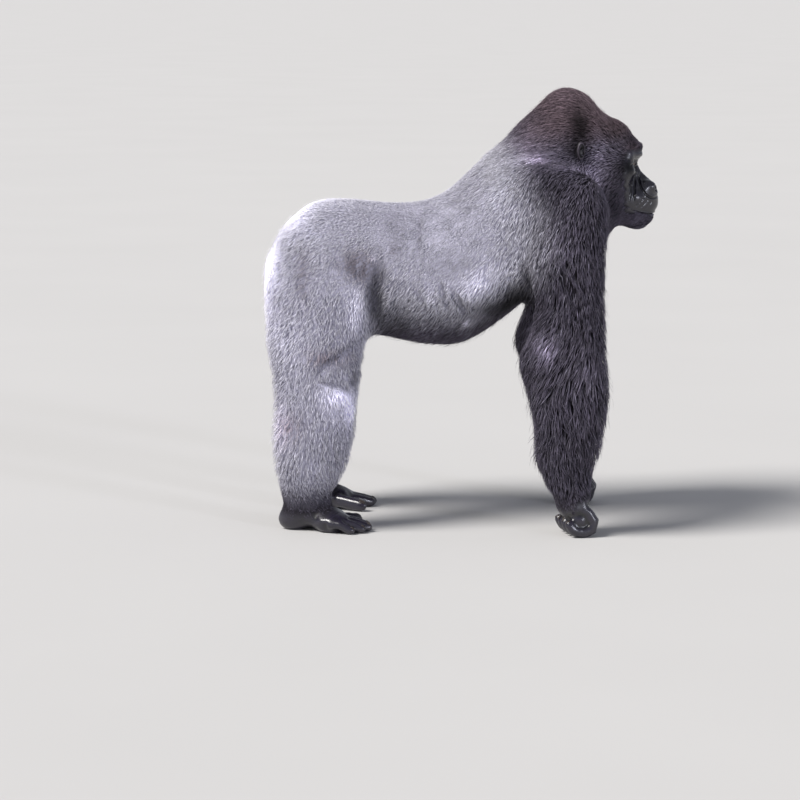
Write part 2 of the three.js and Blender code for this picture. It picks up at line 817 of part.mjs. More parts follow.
for (const [name, side] of SIDES) {
  place(`eye_${name}`, solid(ball(eyeAt(side), EYE_RADIUS, 1)), EYE);
  const flap = ear(side).reduce((a, b) => a.add(b));
  const beside = headPiece.translate([0, side * CUT, 0]);
  place(`ear_${name}`, largest(flap.subtract(beside)), BARE);

  // Limbs, from the shoulder and the hip down.
  const armSkin = solid(
    surface(
      body,
      side < 0 ? [60, -460, 60] : [60, 110, 60],
      side < 0 ? [500, -110, 1100] : [500, 460, 1100],
      LIMB_CELL,
    ),
  );
  const armPiece = armSkin.intersect(KNIVES.arm(side, 0));
  place(
    `upper_arm_${name}`,
    largest(armPiece.intersect(KNIVES.level(505 + CUT, 1300, 0))),
    BLACK,
  );
  place(
    `forearm_${name}`,
    largest(armPiece.intersect(KNIVES.level(150 + CUT, 505, 0))),
    BLACK,
  );
  const legSkin = solid(
    surface(
      body,
      side < 0 ? [-640, -420, 40] : [-640, -50, 40],
      side < 0 ? [-190, 50, 900] : [-190, 420, 900],
      LIMB_CELL,
    ),
  );
  const legPiece = legSkin.intersect(KNIVES.thigh(side, 0));
  place(
    `thigh_${name}`,
    largest(legPiece.intersect(KNIVES.level(400 + CUT, 900, 0))),
    GREY,
  );
  place(
    `shank_${name}`,
    largest(legPiece.intersect(KNIVES.level(112 + CUT, 400, 0))),
    GREY,
  );

  // Hands and feet, on flats at the floor.
  const across = new THREE.Vector3(
    -Math.sin(HAND_TURN),
    side * Math.cos(HAND_TURN),
    0,
  );
  const fingerAt = (joints, grow) =>
    digit(
      settle(joints, HAND_PIVOT, -HAND_TURN, HAND_STRIDE[name], side),
      across.clone().setX(Math.sin(HAND_TURN)),
      FINGER_WIDTH,
      grow,
    );
  const handSkin = onFloor(
    solid(
      surface(
        body,
        side < 0 ? [220, -390, -30] : [220, 150, -30],
        side < 0 ? [450, -150, 200] : [450, 390, 200],
        PALM_CELL,
      ),
    ),
  );
  let hand = handSkin.intersect(KNIVES.level(-20, 150, 0));
  const fingers = [
    ...FINGERS.map((f) => [f.name, fingerJoints(f)]),
    ["thumb", THUMB],
  ];
  for (const [finger, joints] of fingers) {
    place(`${finger}_${name}`, largest(onFloor(fingerAt(joints, 0))), BARE);
    hand = hand.subtract(fingerAt(joints, CUT));
  }
  place(`hand_${name}`, largest(hand), BARE);

  const toeAcross = new THREE.Vector3(
    -Math.sin(FOOT_TURN),
    side * Math.cos(FOOT_TURN),
    0,
  );
  const toeAt = (joints, grow) =>
    digit(
      settle(joints, FOOT_PIVOT, FOOT_TURN, FOOT_STRIDE[name], side),
      toeAcross,
      TOE_WIDTH,
      grow,
    );
  const footSkin = onFloor(
    solid(
      surface(
        body,
        side < 0 ? [-560, -320, -30] : [-560, 60, -30],
        side < 0 ? [-250, -60, 170] : [-250, 320, 170],
        PALM_CELL,
      ),
    ),
  );
  let foot = footSkin.intersect(KNIVES.level(-20, 112, 0));
  const toes = [
    ...TOES.map((t) => [t.name, toeJoints(t)]),
    ["great_toe", GREAT_TOE],
  ];
  for (const [toe, joints] of toes) {
    place(`${toe}_${name}`, largest(onFloor(toeAt(joints, 0))), BARE);
    foot = foot.subtract(toeAt(joints, CUT));
  }
  place(`foot_${name}`, largest(foot), BARE);
}

// The origin is the middle of the model's box on the floor.
const room = new THREE.Box3().setFromObject(gorilla);
const middle = room.getCenter(new THREE.Vector3());
gorilla.position.set(-middle.x, -middle.y, -room.min.z);

export default gorilla;
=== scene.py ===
import math

import bmesh
import bpy
import numpy as np
from mathutils import Matrix, Vector
from mathutils.geometry import barycentric_transform
from mathutils.bvhtree import BVHTree
from mathutils.kdtree import KDTree


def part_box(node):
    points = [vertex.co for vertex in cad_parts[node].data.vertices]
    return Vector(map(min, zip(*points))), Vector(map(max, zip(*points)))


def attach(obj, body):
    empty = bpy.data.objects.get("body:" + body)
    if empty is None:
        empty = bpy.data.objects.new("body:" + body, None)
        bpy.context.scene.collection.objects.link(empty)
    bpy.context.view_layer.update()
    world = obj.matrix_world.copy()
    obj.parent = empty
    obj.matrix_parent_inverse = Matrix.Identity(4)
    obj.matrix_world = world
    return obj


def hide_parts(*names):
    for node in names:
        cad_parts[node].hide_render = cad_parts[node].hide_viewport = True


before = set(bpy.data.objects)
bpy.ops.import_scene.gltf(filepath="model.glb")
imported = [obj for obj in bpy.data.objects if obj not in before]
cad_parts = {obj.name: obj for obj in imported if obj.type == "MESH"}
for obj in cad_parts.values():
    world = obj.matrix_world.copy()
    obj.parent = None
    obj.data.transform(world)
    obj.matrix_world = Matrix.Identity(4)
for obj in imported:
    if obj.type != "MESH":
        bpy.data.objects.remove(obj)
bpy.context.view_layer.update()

# ---------------------------------------------------------------- the studio
# A pale seamless paper floor under wide soft lamps. The main one hangs high behind the rump and
# rims the back, and a weaker one stands in front of the right shoulder. The air glows evenly.
scene = bpy.context.scene


def linear(hex_colour):
    parts = [int(hex_colour[i : i + 2], 16) / 255 for i in (1, 3, 5)]
    return [c / 12.92 if c <= 0.04045 else ((c + 0.055) / 1.055) ** 2.4 for c in parts] + [1.0]


def new_material(name):
    material = bpy.data.materials.new(name)
    material.use_nodes = True
    return material, material.node_tree, material.node_tree.nodes["Principled BSDF"]


def add_node(tree, kind, settings=None, **inputs):
    """Adds a shader node: inputs are named by i and their number, or by their own names."""
    node = tree.nodes.new("ShaderNode" + kind)
    for key, value in (settings or {}).items():
        setattr(node, key, value)
    for key, value in inputs.items():
        socket = node.inputs[int(key[1:])] if key[1:].isdigit() else node.inputs[key.replace("_", " ")]
        if isinstance(value, bpy.types.NodeSocket):
            tree.links.new(value, socket)
        else:
            socket.default_value = value
    return node


def new_piece(name, mesh, material=None):
    piece = bpy.data.objects.new(name, mesh)
    scene.collection.objects.link(piece)
    if material:
        mesh.materials.append(material)
    return piece


RGBA = {"data_type": "RGBA"}
FLOOR_RADIUS = 300.0
paper, paper_tree, paper_shader = new_material("matt paper floor")
floor_place = add_node(paper_tree, "TexCoord")
fibre = add_node(paper_tree, "TexNoise", i0=floor_place.outputs["Object"], Scale=0.8, Detail=4.0)
floor_tone = add_node(
    paper_tree, "Mix", RGBA, i0=fibre.outputs[0], i6=linear("#bfbebd"), i7=linear("#c4c3c2")
)
paper_tree.links.new(floor_tone.outputs[2], paper_shader.inputs["Base Color"])
paper_shader.inputs["Roughness"].default_value = 0.9
disc = bmesh.new()
bmesh.ops.create_circle(disc, cap_ends=True, segments=64, radius=FLOOR_RADIUS)
floor_mesh = bpy.data.meshes.new("floor")
disc.to_mesh(floor_mesh)
disc.free()
floor = new_piece("floor", floor_mesh, paper)

HORIZON_GLOW, OVERHEAD_GLOW = 0.78, 0.34
air = bpy.data.worlds.new("studio air")
scene.world = air
air.use_nodes = True
air_way = add_node(air.node_tree, "TexCoord")
air_split = add_node(air.node_tree, "SeparateXYZ", i0=air_way.outputs["Generated"])
air_glow = add_node(
    air.node_tree, "MapRange", i0=air_split.outputs["Z"], i2=0.5, i3=HORIZON_GLOW, i4=OVERHEAD_GLOW
)
air.node_tree.nodes["Background"].inputs[0].default_value = linear("#e9edf8")
air.node_tree.links.new(air_glow.outputs[0], air.node_tree.nodes["Background"].inputs[1])

LAMPS = [
    # name, the way towards it, strength, how wide it looks in degrees, colour
    ("high lamp behind the rump", (-0.62, -0.34, 0.80), 4.3, 26, "#fffcf8"),
    ("lamp before the shoulder", (0.66, -0.73, 0.18), 0.9, 7, "#eef0ff"),
]
for name, toward, strength, width, colour in LAMPS:
    lamp = bpy.data.lights.new(name, "SUN")
    lamp.energy = strength
    lamp.angle = math.radians(width)
    lamp.color = linear(colour)[:3]
    stand = bpy.data.objects.new(name, lamp)
    stand.location = Vector(toward) * 6
    stand.rotation_mode = "QUATERNION"
    stand.rotation_quaternion = Vector(toward).to_track_quat("Z", "Y")
    scene.collection.objects.link(stand)

# The camera is nine metres off the right flank, with the whole animal in the upper right.
CAMERA_FROM = Vector((-0.1775, -9.0, 1.6))
CAMERA_TO = Vector((-0.1775, 0.0, 0.354))
FIELD = 2.36
SENSOR = 36
lens = bpy.data.cameras.new("camera")
camera = bpy.data.objects.new("camera", lens)
camera.location = CAMERA_FROM
camera.rotation_mode = "QUATERNION"
camera.rotation_quaternion = (CAMERA_TO - CAMERA_FROM).to_track_quat("-Z", "Y")
lens.sensor_width = SENSOR
lens.lens = SENSOR * (CAMERA_TO - CAMERA_FROM).length / FIELD
lens.clip_end = 1000
scene.collection.objects.link(camera)
scene.camera = camera
scene.view_settings.view_transform = "Standard"

# ---------------------------------------------------------------- the hide
# One unbroken skin over the whole animal, drawn in from the outline by the depth of the coat, so
# that hair stands on it. It is bare on the face, the hands and the soles, and furred elsewhere.
MM = 0.001
VOXEL = 4 * MM
INFLATE = 0.8 * MM
flesh = bmesh.new()
for name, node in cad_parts.items():
    if not name.startswith("ear_"):
        flesh.from_mesh(node.data)
# A soft pad lies in the bend of every finger, so that the curled hand is closed on its palm.
PAD = 24 * MM
PAD_BACK, PAD_HEIGHT, PAD_FLAT = 8 * MM, 48 * MM, 0.6
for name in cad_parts:
    if "finger" in name:
        pad_at = sum(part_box(name), Vector()) / 2
        pad_at += Vector((-PAD_BACK, 0, PAD_HEIGHT - pad_at.z))
        pad_shape = Matrix.Translation(pad_at) @ Matrix.Diagonal((1, PAD_FLAT, 1, 1))
        bmesh.ops.create_icosphere(flesh, subdivisions=3, radius=PAD, matrix=pad_shape)
bmesh.ops.remove_doubles(flesh, verts=flesh.verts, dist=1e-5)
flesh.normal_update()
for vert in flesh.verts:
    vert.co += vert.normal * INFLATE
flesh_mesh = bpy.data.meshes.new("flesh")
flesh.to_mesh(flesh_mesh)
flesh.free()
mould = new_piece("mould", flesh_mesh)
remesh = mould.modifiers.new("one skin", "REMESH")
remesh.mode = "VOXEL"
remesh.voxel_size = VOXEL
graph = bpy.context.evaluated_depsgraph_get()
hide_mesh = bpy.data.meshes.new_from_object(mould.evaluated_get(graph))
bpy.data.objects.remove(mould)


def spots(mesh):
    flat = np.empty(len(mesh.vertices) * 3, np.float32)
    mesh.vertices.foreach_get("co", flat)
    return flat.reshape(-1, 3).astype(np.float64)


def step(value, start, end):
    t = np.clip((value - start) / (end - start), 0, 1)
    return t * t * (3 - 2 * t)


def neighbours(mesh):
    """For each corner of the mesh, up to six joined corners, and how many there are."""
    ends = np.empty(len(mesh.edges) * 2, np.int32)
    mesh.edges.foreach_get("vertices", ends)
    ends = ends.reshape(-1, 2)
    a = np.concatenate([ends[:, 0], ends[:, 1]])
    b = np.concatenate([ends[:, 1], ends[:, 0]])
    order = np.argsort(a, kind="stable")
    a, b = a[order], b[order]
    first = np.searchsorted(a, np.arange(len(mesh.vertices)))
    rank = np.arange(len(a)) - first[a]
    table = np.tile(np.arange(len(mesh.vertices))[:, None], (1, 6))
    kept = rank < 6
    table[a[kept], rank[kept]] = b[kept]
    count = np.minimum(np.bincount(a, minlength=len(mesh.vertices)), 6)
    return table, count


def relax(values, table, count, rate, rounds):
    """Draws each value towards its neighbours' mean, which smooths a shape or evens a spread."""
    extra = (table.shape[1] - count)[:, None]
    for _ in range(rounds):
        total = values[table].sum(1) - extra * values
        values = values + rate[:, None] * (total / count[:, None] - values)
    return values


eye_centre = {-1: sum(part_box("eye_right"), Vector()) / 2, 1: sum(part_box("eye_left"), Vector()) / 2}
between_eyes = np.array((eye_centre[-1] + eye_centre[1]) / 2)
eye_radius = (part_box("eye_right")[1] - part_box("eye_right")[0]).z / 2

# The facets are melted over so many millimetres: widely on the trunk, hardly on face and paws.
# What the melting takes off the round of a limb is given back by the same amount of it, melted too.
MELT_BODY, MELT_HEAD, MELT_FACE, MELT_PAW = 29, 19, 7.5, 7
ROUNDS = 125
co = spots(hide_mesh)
table, count = neighbours(hide_mesh)
x, y, z = co.T
on_face = step(x, 0.43, 0.46) * step(z, 0.84, 0.87)
on_head = step(x + 0.6 * (z - 1.0), 0.22, 0.30) * step(z, 0.86, 0.92) * step(0.15 - abs(y), 0, 0.02)
on_paw = 1 - step(z, 0.11, 0.17)
melt = MELT_BODY + (MELT_HEAD - MELT_BODY) * on_head
melt = melt + (MELT_FACE - melt) * on_face
melt = melt + (MELT_PAW - melt) * on_paw
melt = melt + (MELT_HEAD - melt) * on_paw * (1 - step(x, -0.46, -0.40))
rate = (melt * MM) ** 2 / (ROUNDS * VOXEL**2 / 2)
melted = relax(co, table, count, rate, ROUNDS)
lost = relax(co - melted, table, count, rate, ROUNDS)
co = melted + lost
hide_mesh.vertices.foreach_set("co", co.ravel())


# The face is worked finer than the body: two millimetres over the bare skin, one round the eyes,
# the nose and the lips. Its places are given in millimetres forward, sideways and up from a point
# midway between the eyes.
def face_place(forward, side, up):
    return between_eyes + np.array((forward, side, up)) * MM


def within(places, centre, radii):
    return (((places - centre) / (np.array(radii) * MM)) ** 2).sum(1)


FINE_ZONES = [
    [((0, 0, -60), (95, 100, 125))],
    [
        ((8, 37, 0), (26, 26, 24)),
        ((8, -37, 0), (26, 26, 24)),
        ((52, 0, -82), (48, 62, 50)),
        ((50, 0, -144), (60, 62, 22)),
    ],
    [((8, 37, 0), (17, 19, 15)), ((8, -37, 0), (17, 19, 15))],
]
for zones in FINE_ZONES:
    worked = bmesh.new()
    worked.from_mesh(hide_mesh)
    places = spots(hide_mesh)
    inside = np.zeros(len(places), bool)
    for centre, radii in zones:
        inside |= within(places, face_place(*centre), radii) < 1
    worked.verts.ensure_lookup_table()
    fine_edges = [e for e in worked.edges if inside[e.verts[0].index] and inside[e.verts[1].index]]
    bmesh.ops.subdivide_edges(worked, edges=fine_edges, cuts=1, use_grid_fill=True)
    worked.to_mesh(hide_mesh)
    worked.free()
    co = spots(hide_mesh)
    table, count = neighbours(hide_mesh)
    settle = 0.5 * step(1.3 - within(co, face_place(0, 0, -60), (95, 100, 125)), 0, 0.3)
    co = relax(co, table, count, settle, 4)
    hide_mesh.vertices.foreach_set("co", co.ravel())
hide_mesh.update()


def outward(mesh):
    flat = np.empty(len(mesh.vertices) * 3, np.float32)
    mesh.vertex_normals.foreach_get("vector", flat)
    return flat.reshape(-1, 3)


def swell(centre, radii, forward, side, up):
    """Pushes a rounded patch of the face by so many millimetres, on both sides alike."""
    for hand in (-1, 1) if centre[1] else (-1,):
        at = face_place(centre[0], centre[1] * hand, centre[2])
        share = np.clip(1 - within(co, at, radii), 0, 1) ** 2
        co[:] += share[:, None] * np.array((forward, side * hand, up)) * MM


def bend(path, spacing):
    """Points every so many millimetres on a smooth curve through the corners of a path."""
    corners = np.array([2 * np.array(path[0]) - path[1], *path, 2 * np.array(path[-1]) - path[-2]], float)
    points = []
    for before, start, end, after in zip(corners, corners[1:], corners[2:], corners[3:]):
        for t in np.arange(0, 1, spacing / max(np.linalg.norm(end - start), spacing)):
            straight = 2 * start + (end - before) * t
            curved = (2 * before - 5 * start + 4 * end - after) * t**2
            twisted = (3 * start - before - 3 * end + after) * t**3
            points.append(0.5 * (straight + curved + twisted))
    return np.array(points + [corners[-2]])


def groove(path, width, depth, lips=0.18, origin=(0, 0, 0)):
    """Draws a crease along a path laid on the hide, on both sides alike, and gives its seats."""
    line = bend(path, 0.35 * width)
    share = np.linspace(0, 1, len(line))
    fade = np.clip(np.minimum(share, 1 - share) / 0.25, 0.12, 1) ** 0.7
    from_middle, to_middle = abs(path[0][1]) < 0.5, abs(path[-1][1]) < 0.5
    fade = np.where((share < 0.5) & from_middle | (share > 0.5) & to_middle, 1, fade)
    sink, seats = {}, []
    for hand in (-1, 1):
        for (forward, side, up), strength in zip(line, fade):
            seat = tree.find(Vector(np.array(origin) + np.array((forward, side * hand, up)) * MM))[0]
            seats.append(seat)
            for _, index, gap in tree.find_range(seat, 3.2 * width * MM):
                u = gap / (width * MM)
                here = strength * (math.exp(-u * u) - lips * math.exp(-((u - 1.8) ** 2)))
                held = sink.get(index, 0)
                if here > max(held, 0) or here < held <= 0:
                    sink[index] = here
    ids = np.array(list(sink))
    co[ids] -= normals[ids] * (np.array(list(sink.values())) * depth * MM)[:, None]
    return np.array(seats)


def tree_over(centre, radii):
    """A search tree over the hide near a place, and the ways out of the hide."""
    hide_mesh.vertices.foreach_set("co", co.ravel())
    hide_mesh.update()
    ids = np.nonzero(within(co, centre, radii) < 1)[0]
    found = KDTree(len(ids))
    for index in ids:
        found.insert(co[index], index)
    found.balance()
    return found, outward(hide_mesh)


FACE_ZONE = (face_place(0, 0, -50), (120, 120, 160))

# Masses first: the brow bar, the hollows under it, the cheek bones, the wings of the nose, the lips.
swell((24, 26, 27), (28, 46, 19), 9, 0, -2)
swell((24, 0, 26), (22, 14, 20), -3, 0, 0)
swell((34, 0, 50), (24, 64, 18), 6, 0, 2)
swell((20, 0, 62), (34, 60, 24), 8, 0, 3)
swell((6, 38, 2), (28, 26, 20), -8, 0, 0)
swell((16, 14, -14), (24, 14, 24), -5, 2, 0)
swell((-6, 66, -20), (34, 24, 24), 3, 4, 0)
swell((52, 24, -66), (28, 22, 26), 5, 6, 4)
swell((50, 0, -40), (26, 24, 26), 3, 0, 4)
swell((40, 0, -30), (26, 12, 26), -1, 0, 0)
swell((66, 0, -124), (34, 56, 18), 3, 0, 0)
swell((66, 0, -163), (34, 44, 14), 4, 0, -1)
swell((36, 0, -182), (64, 60, 30), 0, 0, -10)
swell((20, 50, -100), (30, 26, 26), 0, 9, 3)
swell((20, 46, -58), (20, 18, 20), 0, 5, 2)
tree, normals = tree_over(*FACE_ZONE)

# Nostrils: two wide hollows that open forward and outward, parted by a thick wall, in a raised rim.
for hand in (-1, 1):
    mouth = face_place(72, 19.5 * hand, -74)
    off = (co - mouth) / MM
    along = off[:, 1] * hand * 0.88 + off[:, 2] * 0.47
    across = -off[:, 1] * hand * 0.47 + off[:, 2] * 0.88
    oval = (off[:, 0] / 26) ** 2 + (along / 13.5) ** 2 + (across / 9) ** 2
    co += (np.clip(1 - oval, 0, 1) ** 0.7)[:, None] * np.array((-17, -2 * hand, 4)) * MM
    ring = np.sqrt((off[:, 0] / 32) ** 2 + (along / 18) ** 2 + (across / 13) ** 2)
    co += (np.exp(-(((ring - 1) / 0.22) ** 2)))[:, None] * normals * 2.4 * MM
tree, normals = tree_over(*FACE_ZONE)

WING_LINE = [
    (31, 7, -32),
    (29, 22, -38),
    (29, 39, -52),
    (33, 49, -70),
    (44, 47, -88),
    (58, 33, -99),
    (74, 14, -99),
]
MOUTH_LINE = [(2, 56, -129), (20, 50, -138), (40, 41, -144), (62, 25, -147), (78, 0, -147)]
FACE_CREASES = [
    # path, width, depth: round the wing of the nose, from the bridge to under the nostril
    (WING_LINE, 3.0, 3.8),
    # the furrow between the wings, from the tip to the lip
    ([(66, 0, -46), (78, 0, -58), (82, 0, -74), (80, 0, -98)], 3.6, 2.0),
    ([(78, 0, -104), (80, 0, -128)], 3.4, 1.2),
    # the mouth
    (MOUTH_LINE, 2.2, 8.0),
    # folds that run from the nose down the side of the muzzle
    ([(20, 26, -36), (12, 42, -56), (10, 55, -84), (8, 60, -112)], 3.0, 3.4),
    ([(8, 32, -32), (-2, 50, -52), (-6, 62, -84), (-6, 66, -116)], 3.2, 2.4),
    ([(40, 48, -94), (26, 56, -108), (10, 61, -124)], 2.2, 2.2),
    ([(50, 42, -104), (36, 50, -120), (20, 55, -132)], 1.8, 1.6),
    ([(62, 34, -108), (56, 40, -120), (50, 42, -132)], 1.8, 1.2),
    # bags under the eye
    ([(17, 14, -8), (13, 26, -18), (7, 42, -20), (-4, 58, -12)], 1.7, 2.6),
    ([(19, 15, -17), (11, 31, -28), (3, 49, -29), (-8, 63, -20)], 2.0, 2.2),
    ([(20, 18, -27), (9, 38, -39), (-4, 58, -40)], 2.4, 2.0),
    # crow's feet
    ([(-2, 57, -2), (-9, 64, -2), (-16, 71, -6)], 1.6, 1.6),
    ([(-2, 56, 5), (-9, 63, 8), (-16, 70, 12)], 1.6, 1.6),
    # over the bridge of the nose, and up between the brows
    ([(15, 0, 2), (14, 9, -1), (12, 18, -3)], 1.8, 2.4),
    ([(19, 0, -8), (17, 10, -11), (15, 17, -14)], 2.0, 1.8),
    ([(22, 6, 12), (25, 7, 24), (22, 10, 38)], 2.2, 2.4),
    # along the top of the brow, where the hair begins
    ([(17, 0, 48), (14, 22, 53), (6, 44, 50), (-8, 62, 40)], 4.2, 2.0),
    ([(28, 9, 22), (26, 28, 24), (18, 46, 20), (5, 60, 12)], 2.2, 1.6),
    # the chin
    ([(76, 0, -166), (66, 22, -165), (48, 38, -160)], 3.4, 1.6),
]
for path, width, depth in FACE_CREASES:
    groove(path, width, depth, origin=between_eyes)
tree, normals = tree_over(*FACE_ZONE)

# Lids: the skin is drawn over each eyeball with its own thickness, and opens in an almond.
LID = 2.0 * MM
OPEN_WIDE, OPEN_TALL = 10.8 * MM, 4.4 * MM
gaze_of = {hand: Vector((0.975, 0.22 * hand, -0.04)).normalized() for hand in (-1, 1)}
lid_zone = np.zeros(len(co))
for hand, centre in eye_centre.items():
    gaze = np.array(gaze_of[hand])
    aside = np.cross((0, 0, 1), gaze) * hand
    aside /= np.linalg.norm(aside)
    above = np.cross(gaze, aside) * hand
    off = co - np.array(centre)
    span = np.linalg.norm(off, axis=1)
    a, b, c = off @ gaze, off @ aside, off @ above
    c = c - 0.12 * b
    close = (span < 0.034) & (a > -0.004)
    zone = np.sqrt((b / (17 * MM)) ** 2 + (c / (14 * MM)) ** 2)
    cover = (1 - step(zone, 0.8, 1.5)) * close
    arch = np.clip(1 - (b / OPEN_WIDE) ** 2, 0, 1) ** 0.75
    gap = abs(c) / OPEN_TALL
    open_here = (1 - step(gap - arch, -0.10, 0.06)) * (a > 0) * (arch > 0)
    rim = 1.0 * MM * np.exp(-(((gap - arch - 0.25) / 0.3) ** 2)) * (arch > 0)
    fold = 1.6 * MM * np.exp(-(((gap - arch - 1.1) / 0.45) ** 2)) * (c > 0) * (arch > 0)
    lid = eye_radius + LID + rim + fold
    aim = lid + (eye_radius - 2.0 * MM - lid) * open_here
    co += off / span[:, None] * ((aim - span) * cover)[:, None]
    lid_zone = np.maximum(lid_zone, cover * (1 - open_here) * (gap - arch > 0.5))
co = relax(co, *neighbours(hide_mesh), 0.5 * lid_zone, 3)
tree, normals = tree_over(*FACE_ZONE)
LID_FOLDS = [
    ([(7, 25, 8), (12, 32, 11.5), (10, 43, 11.5), (1, 52, 6)], 1.2, 1.8),
    ([(9, 23, -6), (12, 32, -10), (8, 44, -10), (0, 52, -5)], 1.1, 1.2),
]
for path, width, depth in LID_FOLDS:
    groove(path, width, depth, origin=between_eyes)

# Clefts between the digits: the hide sinks wherever two of them are equally near.
CLEFT_WIDTH, CLEFT_DEPTH, CLEFT_REACH = 2.4 * MM, 4.2 * MM, 9 * MM
hide_mesh.vertices.foreach_set("co", co.ravel())
hide_mesh.update()
normals = outward(hide_mesh).copy()
for side in ("right", "left"):
    for kinds in (("finger", "thumb"), ("toe",)):
        kin = [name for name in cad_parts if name.endswith(side) and any(k in name for k in kinds)]
        boxes = [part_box(name) for name in kin]
        lowest = np.array([box[0] for box in boxes]).min(0) - CLEFT_REACH
        highest = np.array([box[1] for box in boxes]).max(0) + CLEFT_REACH
        near = np.nonzero(((co > lowest) & (co < highest)).all(1))[0]
        gaps = []
        for name in kin:
            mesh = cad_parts[name].data
            shape = BVHTree.FromPolygons([v.co for v in mesh.vertices], [p.vertices for p in mesh.polygons])
            gaps.append([shape.find_nearest(Vector(co[i]))[3] for i in near])
        gaps = np.sort(np.array(gaps), axis=0)
        share = np.exp(-(((gaps[1] - gaps[0]) / CLEFT_WIDTH) ** 2)) * (gaps[1] < CLEFT_REACH)
        co[near] -= normals[near] * (share * CLEFT_DEPTH)[:, None]

# Bulges and hollows of the flesh, then the folds of the body, in millimetres forward, outward from
# the middle and up.
tree, normals = tree_over(np.array((0, 0, 0.7)), (900, 900, 900))
BULGES = [
    # kneecap, front of the thigh, hip, behind the hip, lower ribs, shoulder, elbow
    ((-358, 275, 388), (52, 70, 52), 10),
    ((-296, 235, 650), (26, 60, 90), 9),
    ((-325, 225, 770), (60, 60, 55), -9),
    ((-451, 242, 747), (34, 70, 90), -7),
    ((45, 262, 715), (60, 60, 60), 7),
    ((290, 340, 900), (90, 80, 110), 8),
    ((235, 375, 575), (40, 60, 50), 8),
]
for centre, radii, amount in BULGES:
    for hand in (-1, 1):
        share = np.exp(-within(co, np.array(centre) * (1, hand, 1) * MM, radii))
        co += normals * (share * amount * MM)[:, None]
tree, normals = tree_over(np.array((0, 0, 0.7)), (900, 900, 900))
BODY_FOLDS = [
    # path, width, depth, how much shade is painted in it: where the loin meets the ribs, and two wrinkles
    # behind it
    ([(-119, 85, 927), (-117, 165, 884), (-123, 214, 831), (-126, 237, 773)], 7, 5, 0.9),
    ([(-148, 199, 844), (-151, 227, 783)], 5, 4, 0.5),
    ([(-166, 205, 833), (-171, 224, 783)], 5, 4, 0.5),
    # across the flank towards the belly
    ([(-143, 236, 727), (-123, 238, 698), (-97, 232, 657)], 6, 6, 0.9),
    ([(-66, 250, 739), (-51, 251, 699), (-28, 235, 652)], 6.5, 8, 1.0),
    ([(-23, 256, 711), (-3, 245, 676), (23, 216, 635)], 7, 9, 1.1),
    # the groin, where the thigh parts from the belly
    ([(-239, 215, 800), (-240, 225, 731), (-249, 210, 678), (-254, 190, 600)], 20, 18, 1.0),
    # over the knee, round the kneecap, and the hollow in front of it
    ([(-286, 218, 563), (-334, 268, 535), (-391, 291, 497), (-448, 294, 460)], 11, 6, 0.9),
    ([(-440, 296, 432), (-377, 289, 446), (-328, 270, 418), (-302, 233, 360)], 8, 7, 0.8),
    ([(-288, 189, 424), (-312, 250, 448)], 14, 11, 1.2),
    # the bend of the arm, and the armpit
    ([(267, 358, 795), (289, 369, 757), (323, 370, 717)], 10, 8, 0.5),
    ([(183, 277, 790), (186, 274, 722), (201, 276, 650)], 16, 12, 0.8),
    # the edge of the shoulder over the neck
    ([(164, 201, 1056), (223, 178, 1066), (299, 148, 1061), (362, 200, 1030), (397, 262, 970)], 15, 8, 0.7),
]
fold_seats = [groove(path, width, depth, lips=0.35) for path, width, depth, _ in BODY_FOLDS]
hide_mesh.vertices.foreach_set("co", co.ravel())
hide_mesh.update()

